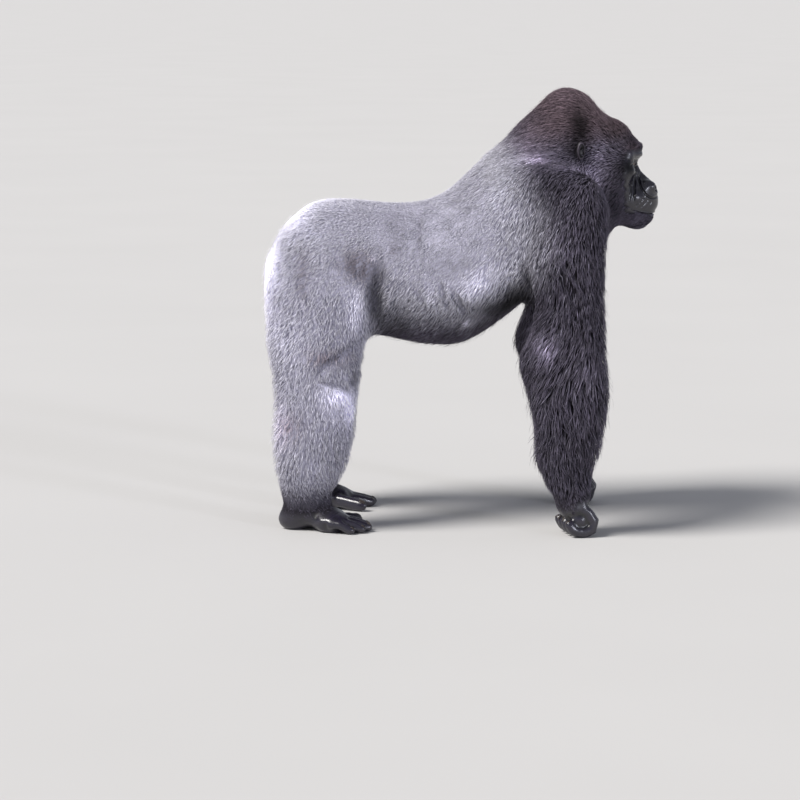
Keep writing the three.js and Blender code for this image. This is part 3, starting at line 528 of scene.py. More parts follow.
# The lie of the coat: strokes of a comb, given on the right side in millimetres forward, outward
# from the middle and up, each with the way the hair lies there, its length and the coat's depth.
STROKES = [
    # forehead, crown and nape
    ((478, 0, 1130), (-0.45, 0.0, 0.9), 12, 3),
    ((455, 62, 1122), (-0.6, 0.2, 0.75), 15, 3),
    ((400, 0, 1225), (-0.8, 0.0, 0.6), 24, 7),
    ((310, 0, 1270), (-1.0, 0.0, 0.0), 32, 10),
    ((330, 85, 1190), (-0.75, 0.1, 0.2), 27, 7),
    ((222, 0, 1215), (-0.75, 0.0, -0.65), 38, 11),
    ((235, 90, 1150), (-0.8, 0.1, -0.5), 35, 10),
    ((140, 0, 1100), (-0.75, 0.0, -0.6), 35, 10),
    # temples, cheeks, jaw and throat
    ((420, 88, 1105), (-0.8, 0.1, 0.35), 16, 3),
    ((352, 112, 1145), (-0.8, 0.1, 0.1), 14, 3),
    ((372, 110, 1100), (-0.6, 0.1, -0.2), 12, 3),
    ((356, 112, 1056), (-0.6, 0.1, -0.6), 14, 3),
    ((318, 112, 1096), (-0.8, 0.1, -0.35), 19, 5),
    ((270, 116, 1085), (-0.8, 0.1, -0.4), 32, 9),
    ((430, 95, 1015), (-0.6, 0.1, -0.6), 19, 4),
    ((405, 92, 950), (-0.55, 0.1, -0.8), 27, 6),
    ((490, 60, 925), (-0.6, 0.2, -0.6), 12, 2),
    ((500, 35, 878), (-0.8, 0.1, -0.4), 16, 3),
    ((430, 40, 862), (-0.6, 0.0, -0.8), 40, 7),
    ((535, 0, 1000), (-0.7, 0.3, -0.5), 4, 0),
    ((490, 45, 1050), (-0.7, 0.4, -0.3), 4, 0),
    ((560, 25, 930), (-0.6, 0.4, -0.6), 4, 0),
    ((525, 50, 965), (-0.6, 0.4, -0.5), 4, 0),
    ((515, 30, 1090), (-0.6, 0.2, 0.6), 4, 0),
    # neck, withers and shoulders
    ((330, 150, 1000), (-0.6, 0.3, -0.7), 30, 11),
    ((300, 210, 1030), (-0.5, 0.5, -0.6), 30, 10),
    ((180, 160, 1050), (-0.75, 0.25, -0.6), 26, 9),
    ((60, 0, 1030), (-0.9, 0.0, -0.4), 17, 6),
    ((100, 160, 960), (-0.75, 0.2, -0.6), 20, 7),
    ((240, 250, 1005), (-0.3, 0.5, -0.75), 32, 12),
    ((385, 220, 930), (0.2, 0.2, -0.95), 38, 14),
    ((165, 300, 900), (-0.35, 0.1, -0.9), 34, 12),
    # chest and belly
    ((400, 60, 760), (0.0, 0.2, -0.95), 34, 12),
    ((320, 0, 640), (-0.5, 0.0, -0.8), 36, 13),
    ((130, 250, 720), (-0.5, 0.05, -0.85), 28, 10),
    ((170, 120, 600), (-0.6, -0.1, -0.8), 38, 14),
    ((-30, 235, 640), (-0.5, -0.1, -0.85), 28, 11),
    ((-180, 220, 650), (-0.6, -0.1, -0.8), 24, 10),
    ((-60, 130, 540), (-0.6, -0.2, -0.75), 40, 15),
    ((-60, 0, 515), (-0.9, 0.0, -0.35), 40, 15),
    ((-270, 120, 560), (-0.6, -0.3, -0.7), 32, 12),
    # back, loins and rump
    ((-170, 0, 920), (-1.0, 0.0, 0.0), 9, 5),
    ((-170, 170, 850), (-0.8, 0.2, -0.5), 9, 4),
    ((-60, 240, 780), (-0.65, 0.05, -0.75), 9, 4),
    ((50, 230, 880), (-0.7, 0.1, -0.7), 9, 4),
    ((-380, 0, 955), (-1.0, 0.0, -0.05), 17, 9),
    ((-330, 200, 850), (-0.75, 0.15, -0.6), 14, 7),
    ((-300, 240, 760), (-0.5, 0.1, -0.85), 14, 7),
    ((-540, 0, 850), (-0.4, 0.0, -0.9), 25, 14),
    ((-570, 100, 680), (-0.3, 0.1, -0.95), 28, 15),
    ((-500, 180, 800), (-0.6, 0.1, -0.8), 20, 11),
    # thighs and shanks
    ((-420, 270, 620), (-0.35, 0.05, -0.93), 22, 11),
    ((-300, 220, 560), (-0.15, 0.0, -1.0), 20, 10),
    ((-560, 200, 520), (-0.35, 0.05, -0.95), 28, 15),
    ((-420, 60, 560), (-0.2, -0.1, -1.0), 22, 10),
    ((-330, 200, 420), (0.15, 0.05, -1.0), 17, 9),
    ((-430, 285, 300), (-0.15, 0.05, -1.0), 25, 14),
    ((-530, 200, 260), (-0.35, 0.0, -0.95), 31, 17),
    ((-330, 200, 250), (0.1, 0.0, -1.0), 23, 12),
    ((-430, 130, 280), (-0.1, 0.0, -1.0), 23, 12),
    ((-430, 190, 125), (0.1, 0.05, -1.0), 17, 7),
    # feet
    ((-420, 190, 80), (0.8, 0.1, -0.5), 10, 2),
    ((-340, 190, 30), (0.9, 0.0, -0.3), 4, 0),
    ((-510, 180, 40), (-0.3, 0.0, -0.9), 5, 1),
    # arms
    ((290, 375, 760), (-0.05, 0.05, -1.0), 46, 17),
    ((190, 330, 650), (-0.3, 0.0, -0.95), 54, 19),
    ((425, 300, 700), (0.1, 0.0, -1.0), 42, 15),
    ((300, 200, 650), (0.0, -0.1, -1.0), 34, 12),
    ((250, 395, 545), (-0.4, 0.1, -0.9), 52, 19),
    ((160, 320, 500), (-0.65, 0.0, -0.75), 62, 22),
    ((300, 405, 380), (0.05, 0.15, -1.0), 64, 25),
    ((190, 330, 330), (-0.4, 0.0, -0.9), 74, 26),
    ((415, 300, 380), (0.35, 0.0, -0.95), 58, 22),
    ((300, 220, 350), (0.0, -0.15, -1.0), 44, 16),
    ((310, 290, 175), (0.1, 0.05, -1.0), 40, 12),
    # hands
    ((335, 280, 115), (0.5, 0.0, -0.85), 14, 3),
    ((375, 280, 50), (0.5, 0.0, -0.85), 4, 0),
    ((255, 280, 80), (0.0, 0.0, -1.0), 4, 0),
]
OWN_REACH = 35 * MM


def comb(places):
    """The way the hair lies, its length and the coat's depth at each place, from the strokes."""
    total = np.zeros((len(places), 5))
    weight = np.zeros(len(places))
    for hand in (-1, 1):
        for (forward, aside, up), lie, length, depth in STROKES:
            at = np.array((forward, hand * aside, up)) * MM
            share = 1 / (((places - at) ** 2).sum(1) + OWN_REACH**2) ** 2.5
            lie = np.array(lie) * (1, hand, 1)
            lie /= np.linalg.norm(lie)
            weight += share
            total += share[:, None] * np.array((*lie, length * MM, depth * MM))
    total /= weight[:, None]
    return total[:, :3], total[:, 3], total[:, 4]


EAR_AT = np.array(sum(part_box("ear_left"), Vector()) / 2)


HAIRLINE = (-16, 6)  # forward of the eyes, mm: from furred to naked
BROW_TOP, CHIN_EDGE = (30, 50), (-152, -136)  # over the eyes, mm
SOLE_EDGE, KNUCKLE_EDGE = (0.034, 0.066), (0.088, 0.125)  # over the floor, m


def bareness(places):
    """One where the skin is naked: face within its hairline, ears, fingers, palms, toes and soles."""
    x, y, z = places.T
    forward, up = (x - between_eyes[0]) / MM, (z - between_eyes[2]) / MM
    side = abs(y - between_eyes[1]) / MM
    ragged = 3 * np.sin(up / 5.1 + side / 7) + 2 * np.sin(up / 2.3 - side / 3.1)
    hairline = step(forward + 0.16 * side - 0.05 * abs(up + 40) + ragged, *HAIRLINE)
    chin = step(up + 0.4 * np.clip(forward - 40, 0, 99), *CHIN_EDGE)
    face = hairline * (1 - step(up, *BROW_TOP)) * chin
    ear = 1 - step(within(np.stack([x, abs(y), z], 1), EAR_AT, (12, 30, 25)), 0.7, 1.2)
    foot = (1 - step(z - 0.5 * np.clip(x + 0.40, 0, 1), *SOLE_EDGE)) * (x < 0)
    hand = (1 - step(z - 0.5 * (x - 0.35), *KNUCKLE_EDGE)) * (x > 0)
    return np.clip(face + ear + foot + hand, 0, 1)


lie, _, depth = comb(co)
bare = bareness(co)
co = co - outward(hide_mesh) * (depth * (1 - bare))[:, None]
table, count = neighbours(hide_mesh)
co = relax(co, table, count, 0.5 * (1 - bare), 6)
hide_mesh.vertices.foreach_set("co", co.ravel())
hide_mesh.update()
skin_spots, skin_normals = co, outward(hide_mesh).copy()
body_tree = KDTree(len(skin_spots))
for index, place in enumerate(skin_spots):
    body_tree.insert(place, index)
body_tree.balance()
fold_seats = [np.array([body_tree.find(seat)[0] for seat in seats]) for seats in fold_seats]

# Markings and painted light, in millimetres forward, outward and up, with a radius each way: how much
# lighter or darker the coat is there, where one is twice as light, and how much browner. Some are the
# coat's own colour; others are painted light and shade, as named below.
PATCHES_OF_MARKS_AND_LIGHT = [
    # head: temple, before the ear, cheek, painted highlight over the socket, forehead, brow,
    # painted shade in the socket
    ((352, 101, 1159), (21, 90, 46), -3.0, 0.0),
    ((326, 119, 1100), (11, 90, 26), -1.2, 0.0),
    ((399, 102, 1081), (35, 90, 41), 1.5, -0.3),
    ((394, 105, 1009), (41, 90, 41), 1.3, -0.3),
    ((452, 92, 1071), (11, 90, 8), 0.4, 0.0),
    ((453, 67, 1146), (32, 90, 26), -0.7, 0.3),
    ((500, 57, 1093), (20, 90, 17), 0.2, 0.6),
    ((478, 60, 1044), (28, 60, 20), -2.6, 0.0),
    # behind the muzzle, painted shade under the jaw, nape, crown
    ((440, 102, 980), (20, 90, 41), -0.6, 0.0),
    ((420, 70, 900), (34, 90, 40), -0.4, 0.0),
    ((500, 40, 885), (50, 60, 25), 0.7, 0.0),
    ((210, 135, 1110), (64, 120, 73), 1.1, 0.15),
    ((300, 47, 1237), (60, 90, 32), 0.3, 0.2),
    # shoulder: its pale edge against the neck, its top, front and back
    ((237, 160, 1070), (64, 70, 14), 1.7, 0.0),
    ((364, 130, 1036), (30, 70, 24), 1.8, 0.0),
    ((318, 170, 1044), (32, 80, 15), 1.5, 0.0),
    ((247, 274, 1006), (64, 90, 29), -0.3, 0.0),
    ((344, 314, 989), (23, 90, 35), 0.4, 0.0),
    ((101, 249, 976), (64, 90, 47), 0.3, 0.0),
    # loin: painted shade behind the fold and painted light before it, a spot, the tuft on the hip
    ((-183, 166, 875), (30, 90, 64), -0.75, 0.0),
    ((-30, 240, 780), (64, 90, 30), -0.6, 0.0),
    ((-191, 206, 821), (14, 90, 17), -0.8, 0.3),
    ((-252, 215, 792), (12, 90, 12), 1.5, 0.0),
    # painted shade on the hip, behind it and in the groin; flank
    ((-292, 216, 772), (46, 90, 38), -1.2, 0.6),
    ((-451, 242, 747), (19, 90, 64), -0.6, 0.3),
    ((-238, 223, 690), (24, 90, 66), -1.3, 0.0),
    ((-191, 188, 626), (58, 90, 45), -0.8, 0.0),
    ((39, 260, 723), (47, 90, 44), 1.0, 0.0),
    ((110, 266, 762), (58, 90, 44), 0.45, 0.0),
    ((-38, 255, 690), (9, 90, 35), 0.4, 0.0),
    ((-85, 249, 700), (16, 90, 32), 0.3, 0.0),
    ((23, 202, 618), (7, 90, 12), 1.6, 0.0),
    # belly; painted shade in the armpit and under the lower edge of the chest
    ((-90, 175, 575), (40, 90, 26), 0.8, 0.0),
    ((190, 274, 712), (20, 90, 50), -1.2, 0.0),
    ((158, 250, 695), (28, 90, 38), -2.6, 0.0),
    ((132, 229, 660), (74, 90, 26), -2.3, 0.0),
    # rump and thigh: painted sunlight on the rump and on the front of the thigh
    ((-556, 150, 700), (34, 190, 147), 0.9, 0.0),
    ((-472, 110, 885), (60, 130, 46), 0.8, 0.0),
    ((-531, 150, 790), (36, 120, 70), 0.9, 0.0),
    ((-440, 30, 930), (110, 90, 35), 0.4, 0.0),
    ((-420, 240, 830), (40, 90, 40), 0.2, 0.0),
    ((-304, 227, 645), (26, 90, 66), 0.9, 0.0),
    ((-505, 267, 563), (59, 90, 73), 0.4, 0.0),
    ((-380, 290, 520), (60, 90, 20), -0.3, 0.6),
    # painted light on the kneecap and the edge of the shank; shank
    ((-363, 283, 410), (44, 90, 20), 1.5, 0.0),
    ((-322, 250, 360), (18, 90, 48), 1.4, 0.0),
    ((-363, 283, 360), (41, 90, 47), 0.4, 0.0),
    ((-303, 237, 467), (14, 90, 23), -0.6, 0.0),
    ((-515, 269, 310), (22, 90, 80), 0.9, 0.2),
    ((-486, 283, 321), (29, 90, 41), -0.1, 0.5),
    # arm: upper arm, elbow, behind it, forearm, its front edge
    ((286, 350, 857), (47, 90, 59), 0.8, 0.0),
    ((250, 379, 571), (34, 90, 34), 2.2, 0.0),
    ((199, 320, 621), (17, 90, 35), 1.0, 0.0),
    ((357, 392, 507), (23, 90, 41), 1.0, 0.0),
    ((309, 375, 291), (59, 90, 59), -0.4, 0.0),
    ((412, 320, 713), (13, 90, 177), -0.5, 0.0),
]
FOLD_FADE = 0.4
STOPS = 6  # the span of lightness that a marking can hold, each one being double
SHOULDER_EDGE, BELLY_EDGE = (0.14, 0.30), (0.565, 0.675)  # where silver meets black, m
LEG_EDGE, ANKLE_EDGE, INNER_EDGE = (-0.27, -0.20), (0.08, 0.16), (0.06, 0.13)
BROWN_RISE, BROWN_FRONT = (1.08, 1.18), (0.12, 0.3)


def coat_marks_and_painted_light(places):
    """How silver and how brown the coat is, and how light or dark it is laid, with painted light and shade,
    place by place.
    """
    x, y, z = places.T
    side = abs(y)
    behind_shoulder = 1 - step(x + 0.45 * np.clip(z - 0.93, 0, 1), *SHOULDER_EDGE)
    above_belly = step(z - 0.7 * np.clip(x - 0.04, 0, 1), *BELLY_EDGE)
    leg = (1 - step(x, *LEG_EDGE)) * step(z, *ANKLE_EDGE)
    outer = step(side + 0.5 * np.clip(z - 0.6, 0, 1), *INNER_EDGE)
    silver = np.clip(np.maximum(behind_shoulder * above_belly, leg * outer), 0, 1)
    brown = step(z, *BROWN_RISE) * step(x, *BROWN_FRONT)
    light = np.zeros(len(places))
    for (forward, aside, up), radii, amount, browner in PATCHES_OF_MARKS_AND_LIGHT:
        for hand in (-1, 1):
            share = np.exp(-within(places, np.array((forward, hand * aside, up)) * MM, radii))
            light += amount * share
            brown = brown + browner * share
    # Along each body fold the coat is painted darker, fading towards its ends: painted shade in the crease.
    for (_, width, _, shade), seats in zip(BODY_FOLDS, fold_seats):
        reach = 4 * width * MM
        for hand in (-1, 1):
            mine = seats[seats[:, 1] * hand > 0]
            near = np.nonzero(((places > mine.min(0) - reach) & (places < mine.max(0) + reach)).all(1))[0]
            dark = np.zeros(len(near))
            for index, seat in enumerate(mine):
                fade = min(1, (min(index, len(mine) - 1 - index) + 1) / (FOLD_FADE * len(mine)))
                u = np.linalg.norm(places[near] - seat, axis=1) / (width * MM)
                dark = np.maximum(dark, fade * np.exp(-(u**2)))
            light[near] -= shade * dark
    return silver, np.clip(brown, 0, 1), light


# The hide's finish: moist black leather where it is bare, with fine crossing wrinkles, painted lighter
# on its ridges and darker in its hollows as painted highlight and shade; under the coat it wears the
# down's own colour in streaks that follow the lie.
WRINKLE = 2.6 * MM
PORE = 1.1 * MM
DOWN_WIDTH, DOWN_STRETCH = 2.4 * MM, 9
LIP_HIGHLIGHT_WIDTH = 2.2 * MM


def leather(tree, place, dark, pale):
    """Colour and relief of bare gorilla skin: mottled, with a net of wrinkles and fine pores."""
    mottle = add_node(tree, "TexNoise", i0=place, Scale=0.25 / WRINKLE, Detail=3.0)
    colour = add_node(tree, "Mix", RGBA, i0=mottle.outputs[0], i6=linear(dark), i7=linear(pale))
    warp = add_node(tree, "TexNoise", i0=place, Scale=0.3 / WRINKLE, Detail=2.0)
    bent = add_node(tree, "VectorMath", {"operation": "SCALE"}, i0=warp.outputs[1], i3=1.6 * WRINKLE)
    moved = add_node(tree, "VectorMath", {"operation": "ADD"}, i0=place, i1=bent.outputs[0])
    net = add_node(
        tree, "TexVoronoi", {"feature": "DISTANCE_TO_EDGE"}, i0=moved.outputs[0], Scale=1 / WRINKLE
    )
    flat = add_node(tree, "MapRange", i0=net.outputs[0], i1=0.0, i2=0.22)
    pores = add_node(tree, "TexNoise", i0=place, Scale=1 / PORE, Detail=2.0)
    coarse = add_node(tree, "Bump", i0=0.13, i1=0.5 * MM, i3=flat.outputs[0])
    fine = add_node(tree, "Bump", i0=0.05, i1=0.3 * MM, i3=pores.outputs[0], Normal=coarse.outputs[0])
    return colour.outputs[2], fine.outputs[0]


def keep(mesh, name, values, kind="FLOAT"):
    """Stores a number or a colour for each corner of a mesh, for its material to read."""
    if kind == "FLOAT_COLOR":
        layer = mesh.color_attributes.new(name, kind, "POINT")
        layer.data.foreach_set("color", values.astype(np.float32).ravel())
        return
    layer = mesh.attributes.new(name, kind, "POINT")
    layer.data.foreach_set("value" if kind == "FLOAT" else "vector", values.astype(np.float32).ravel())


# The hide keeps the coat's colouring and the painted light and shade, for its material to read.
silver, brown, light = coat_marks_and_painted_light(skin_spots)
keep(hide_mesh, "marks_and_painted_light", np.stack([silver, brown, 0.5 + light / STOPS, silver * 0 + 1], 1), "FLOAT_COLOR")
keep(hide_mesh, "bare", bare)
slant = np.array([(-0.75, 0.0, -0.66), (0.0, 0.0, -1.0), (-1.0, 0.0, 0.0)])
share = np.clip(lie @ slant.T, 0.02, 1) ** 8
share /= share.sum(1)[:, None]
keep(hide_mesh, "lie", np.concatenate([share, np.ones((len(share), 1))], 1), "FLOAT_COLOR")
# How far each place stands above or sinks below its smoothed neighbours, for painted shade and highlight.
smooth = relax(skin_spots, table, count, np.full(len(skin_spots), 0.6), 5)
relief = ((skin_spots - smooth) * skin_normals).sum(1) / (0.25 * MM)
# A pale line is painted along the edge of the lower lip: a painted highlight.
lip_line = bend(MOUTH_LINE, 1.0)
lip_tree = KDTree(2 * len(lip_line))
for index, (forward, side, up) in enumerate(lip_line):
    for hand in (0, 1):
        lip_tree.insert(face_place(forward, side * (2 * hand - 1), up - 3.2), 2 * index + hand)
lip_tree.balance()
mouth_zone = np.nonzero(within(skin_spots, face_place(45, 0, -145), (70, 75, 30)) < 1)[0]
lip_highlight = np.zeros(len(skin_spots))
for index in mouth_zone:
    lip_highlight[index] = math.exp(-((lip_tree.find(skin_spots[index])[2] / LIP_HIGHLIGHT_WIDTH) ** 2))
keep(hide_mesh, "relief", np.clip(0.5 + 0.5 * relief, 0, 1))
keep(hide_mesh, "lip_highlight", lip_highlight)

hide_leather, hide_tree, hide_shader = new_material("bare gorilla skin")
at = add_node(hide_tree, "TexCoord").outputs["Object"]
skin_colour, skin_normal = leather(hide_tree, at, "#0d0b12", "#1b1824")
# Bare skin is painted darker in its hollows and lighter on its ridges: painted shade and highlight.
relief_node = add_node(hide_tree, "Attribute", {"attribute_name": "relief"})
relief_highlight_and_shade = add_node(hide_tree, "MapRange", i0=relief_node.outputs["Fac"], i3=0.35, i4=1.75)
relief_shaded_skin = add_node(hide_tree, "VectorMath", {"operation": "SCALE"}, i0=skin_colour, i3=relief_highlight_and_shade.outputs[0])
# The lower lip's edge is mixed towards a pale colour: a painted highlight.
lip_highlight_node = add_node(hide_tree, "Attribute", {"attribute_name": "lip_highlight"})
naked = add_node(hide_tree, "Mix", RGBA, i0=lip_highlight_node.outputs["Fac"], i6=relief_shaded_skin.outputs[0], i7=linear("#6a6675"))
hide_marks_and_light = add_node(hide_tree, "Attribute", {"attribute_name": "marks_and_painted_light"})
hide_marks_and_light_split = add_node(hide_tree, "SeparateColor", i0=hide_marks_and_light.outputs["Color"])
lie_node = add_node(hide_tree, "Attribute", {"attribute_name": "lie"})
lie_split = add_node(hide_tree, "SeparateColor", i0=lie_node.outputs["Color"])
down = None
for channel, lean in enumerate((-0.72, -math.pi / 2, 0.0)):
    drawn = add_node(
        hide_tree,
        "Mapping",
        {"vector_type": "TEXTURE"},
        i0=at,
        Rotation=(0, lean, 0),
        Scale=(DOWN_STRETCH, 1, 1),
    )
    streak = add_node(hide_tree, "TexNoise", i0=drawn.outputs[0], Scale=1 / DOWN_WIDTH, Detail=2.0)
    part = add_node(
        hide_tree, "Math", {"operation": "MULTIPLY"}, i0=streak.outputs[0], i1=lie_split.outputs[channel]
    )
    if down:
        part = add_node(hide_tree, "Math", {"operation": "ADD"}, i0=down, i1=part.outputs[0])
    down = part.outputs[0]
down_tone = add_node(hide_tree, "MapRange", i0=down, i1=0.3, i2=0.7, i3=0.55, i4=1.45)
down_colour = add_node(
    hide_tree, "Mix", RGBA, i0=hide_marks_and_light_split.outputs[1], i6=linear("#1d1a21"), i7=linear("#241b1e")
)
down_colour = add_node(
    hide_tree, "Mix", RGBA, i0=hide_marks_and_light_split.outputs[0], i6=down_colour.outputs[2], i7=linear("#9c9aaa")
)
doubled = add_node(hide_tree, "Math", {"operation": "POWER"}, i0=2.0**STOPS, i1=hide_marks_and_light_split.outputs[2])
laid = add_node(hide_tree, "Math", {"operation": "MULTIPLY"}, i0=doubled.outputs[0], i1=0.5 ** (STOPS / 2))
toned = add_node(
    hide_tree, "Math", {"operation": "MULTIPLY"}, i0=down_tone.outputs[0], i1=laid.outputs[0]
)
furred = add_node(
    hide_tree, "VectorMath", {"operation": "SCALE"}, i0=down_colour.outputs[2], i3=toned.outputs[0]
)
bare_node = add_node(hide_tree, "Attribute", {"attribute_name": "bare"})
# Bare skin takes the same painted light and shade as the coat, with its markings.
shown = add_node(hide_tree, "VectorMath", {"operation": "SCALE"}, i0=naked.outputs[2], i3=laid.outputs[0])
all_over = add_node(
    hide_tree, "Mix", RGBA, i0=bare_node.outputs["Fac"], i6=furred.outputs[0], i7=shown.outputs[0]
)
gloss = add_node(hide_tree, "MapRange", i0=bare_node.outputs["Fac"], i3=0.7, i4=0.26)
down_bump = add_node(hide_tree, "Bump", i0=0.6, i1=1.2 * MM, i3=down)
both = add_node(
    hide_tree,
    "Mix",
    {"data_type": "VECTOR"},
    i0=bare_node.outputs["Fac"],
    i4=down_bump.outputs[0],
    i5=skin_normal,
)
hide_tree.links.new(all_over.outputs[2], hide_shader.inputs["Base Color"])
hide_tree.links.new(gloss.outputs[0], hide_shader.inputs["Roughness"])
hide_tree.links.new(both.outputs[1], hide_shader.inputs["Normal"])
# Bare skin has a moist sheen, dimmed wherever painted shade lies: painted shade on the reflection too.
sheen = add_node(hide_tree, "MapRange", i0=bare_node.outputs["Fac"], i3=0.1, i4=0.75)
matt = add_node(hide_tree, "Math", {"operation": "MINIMUM"}, i0=laid.outputs[0], i1=1.0)
moist = add_node(hide_tree, "Math", {"operation": "MULTIPLY"}, i0=sheen.outputs[0], i1=matt.outputs[0])
hide_tree.links.new(moist.outputs[0], hide_shader.inputs["Specular IOR Level"])

# Under the coat the hide's mesh is thinned, because only its colour shows there.
KEPT_SHARE = 0.2
hide_mesh.shade_smooth()
hide = new_piece("hide", hide_mesh, hide_leather)
under_coat = hide.vertex_groups.new(name="under the coat")
under_coat.add(np.nonzero(bare < 0.05)[0].tolist(), 1.0, "REPLACE")
thin = hide.modifiers.new("thin", "DECIMATE")
thin.ratio = KEPT_SHARE
thin.vertex_group = under_coat.name
graph = bpy.context.evaluated_depsgraph_get()
thinned = bpy.data.meshes.new_from_object(hide.evaluated_get(graph))
hide.modifiers.clear()
hide.data = thinned
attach(hide, "root")
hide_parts(*[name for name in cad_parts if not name.startswith(("ear_", "eye_"))])

# ---------------------------------------------------------------- the eyes
# Two moist eyeballs, each a clear bulging cornea over a brown iris, in a white of the eye that is
# itself dark brown. They sit in the sockets of the hide, and its lids lie on them.
PUPIL, IRIS, LIMBUS, SCLERA = 0.15, 0.40, 0.50, 0.60
CORNEA_RISE, CORNEA_EDGE = 0.06, 0.62
IRIS_FRAY = 0.08
eyeball, eye_tree, eye_shader = new_material("moist eyeball")
from_gaze = add_node(eye_tree, "Attribute", {"attribute_name": "from_gaze"})
eye_place = add_node(eye_tree, "TexCoord")
fibres = add_node(eye_tree, "TexNoise", i0=eye_place.outputs["Object"], Scale=900.0, Detail=2.0)
frayed = add_node(
    eye_tree,
    "Math",
    {"operation": "MULTIPLY_ADD"},
    i0=fibres.outputs[0],
    i1=IRIS_FRAY,
    i2=from_gaze.outputs["Fac"],
)
rings = add_node(eye_tree, "ValToRGB", i0=frayed.outputs[0])
ramp = rings.color_ramp
ramp.elements[0].position, ramp.elements[0].color = PUPIL, linear("#030303")
ramp.elements[1].position, ramp.elements[1].color = PUPIL + 0.05, linear("#6a3c1c")
for position, colour in ((IRIS, "#3d2110"), (LIMBUS, "#0d0807"), (SCLERA, "#2d211c")):
    ramp.elements.new(position).color = linear(colour)
eye_tree.links.new(rings.outputs[0], eye_shader.inputs["Base Color"])
eye_shader.inputs["Roughness"].default_value = 0.06
eye_shader.inputs["Coat Weight"].default_value = 0.8
for hand, name in ((-1, "eye_right"), (1, "eye_left")):
    ball = bmesh.new()
    bmesh.ops.create_uvsphere(ball, u_segments=40, v_segments=28, radius=eye_radius)
    turn = Vector((0, 0, 1)).rotation_difference(gaze_of[hand]).to_matrix()
    bmesh.ops.rotate(ball, cent=(0, 0, 0), matrix=turn, verts=ball.verts)
    angles = np.array([vert.co.angle(gaze_of[hand]) for vert in ball.verts])
    for vert, angle in zip(ball.verts, angles):
        vert.co *= 1 + CORNEA_RISE * max(0, 1 - (angle / CORNEA_EDGE) ** 2)
    bmesh.ops.translate(ball, vec=eye_centre[hand], verts=ball.verts)
    eye_mesh = bpy.data.meshes.new(name + "ball")
    ball.to_mesh(eye_mesh)
    ball.free()
    eye_mesh.shade_smooth()
    keep(eye_mesh, "from_gaze", angles)
    eye = new_piece(name + "ball", eye_mesh, eyeball)
    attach(eye, "root")
    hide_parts(name)

# ---------------------------------------------------------------- the ears
# A small bare ear on each side of the head, of thin gristle under black skin: a rolled rim, an
# inner ridge, a deep bowl with a flap before it, and a short lobe.
EAR_THICK = 5.0
ear_skin, ear_tree, ear_shader = new_material("thin ear skin")
ear_at = add_node(ear_tree, "TexCoord").outputs["Object"]
ear_colour, ear_normal = leather(ear_tree, ear_at, "#19161b", "#2a262c")
# The ear is painted dark in its bowl and pale on its rims, ridge and flap: painted shade and highlight.
ear_relief = add_node(ear_tree, "Attribute", {"attribute_name": "relief"})
ear_highlight_and_shade = add_node(ear_tree, "MapRange", i0=ear_relief.outputs["Fac"], i3=0.2, i4=6.5)
ear_shaded_skin = add_node(ear_tree, "VectorMath", {"operation": "SCALE"}, i0=ear_colour, i3=ear_highlight_and_shade.outputs[0])
ear_tree.links.new(ear_shaded_skin.outputs[0], ear_shader.inputs["Base Color"])
ear_tree.links.new(ear_normal, ear_shader.inputs["Normal"])
ear_shader.inputs["Roughness"].default_value = 0.5
ear_shader.inputs["Specular IOR Level"].default_value = 0.25
EAR_TURN = 0.42
EAR_STANDS = 5 * MM
for hand, side in ((-1, "right"), (1, "left")):
    lowest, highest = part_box("ear_" + side)
    wide, tall = (highest.x - lowest.x) / 2 / MM + 2, (highest.z - lowest.z) / 2 / MM
    gristle = bmesh.new()
    bmesh.ops.create_icosphere(gristle, subdivisions=5, radius=1.0)
    relief = []
    flare = Matrix.Rotation(-EAR_TURN, 3, "Z")
    middle = (lowest + highest) / 2
    middle.y = hand * (min(abs(lowest.y), abs(highest.y)) + EAR_STANDS)
    for vert in gristle.verts:
        back, up, out = vert.co
        radius = math.hypot(back, up)
        front_side = max(0.0, out) ** 0.5
        outline = 1 - 0.22 * max(0, -up) * abs(back)
        rim = math.exp(-(((radius - 0.84) / 0.13) ** 2)) * (0.35 + 0.65 * min(1, max(0, back + up + 0.7)))
        ridge = math.exp(-(((radius - 0.52) / 0.11) ** 2)) * max(0, min(1, 0.2 + back + 0.4 * up))
        bowl = math.exp(-(((back + 0.12) / 0.42) ** 2 + ((up + 0.12) / 0.42) ** 2))
        flap = math.exp(-(((back + 0.72) / 0.20) ** 2 + ((up + 0.10) / 0.22) ** 2))
        raised = (3.6 * rim + 3.0 * ridge - 9.0 * bowl + 3.2 * flap) * front_side
        # painted highlight on the rim, ridge and flap, and painted shade in the bowl
        rim_highlight = math.exp(-(((radius - 0.86) / 0.08) ** 2)) + ridge**2 + 0.6 * flap
        relief.append(0.1 + front_side * (0.9 * rim_highlight - bowl))
        ahead, outside, height = flare @ Vector((-back * wide * outline, out * EAR_THICK + raised, up * tall))
        vert.co = middle + Vector((ahead, hand * outside, height)) * MM
    bmesh.ops.recalc_face_normals(gristle, faces=gristle.faces)
    ear_mesh = bpy.data.meshes.new("ear " + side)
    gristle.to_mesh(ear_mesh)
    gristle.free()
    ear_mesh.shade_smooth()
    keep(ear_mesh, "relief", np.clip(np.array(relief), 0, 1))
    ear = new_piece("ear_shell_" + side, ear_mesh, ear_skin)
    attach(ear, "root")
    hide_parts("ear_" + side)

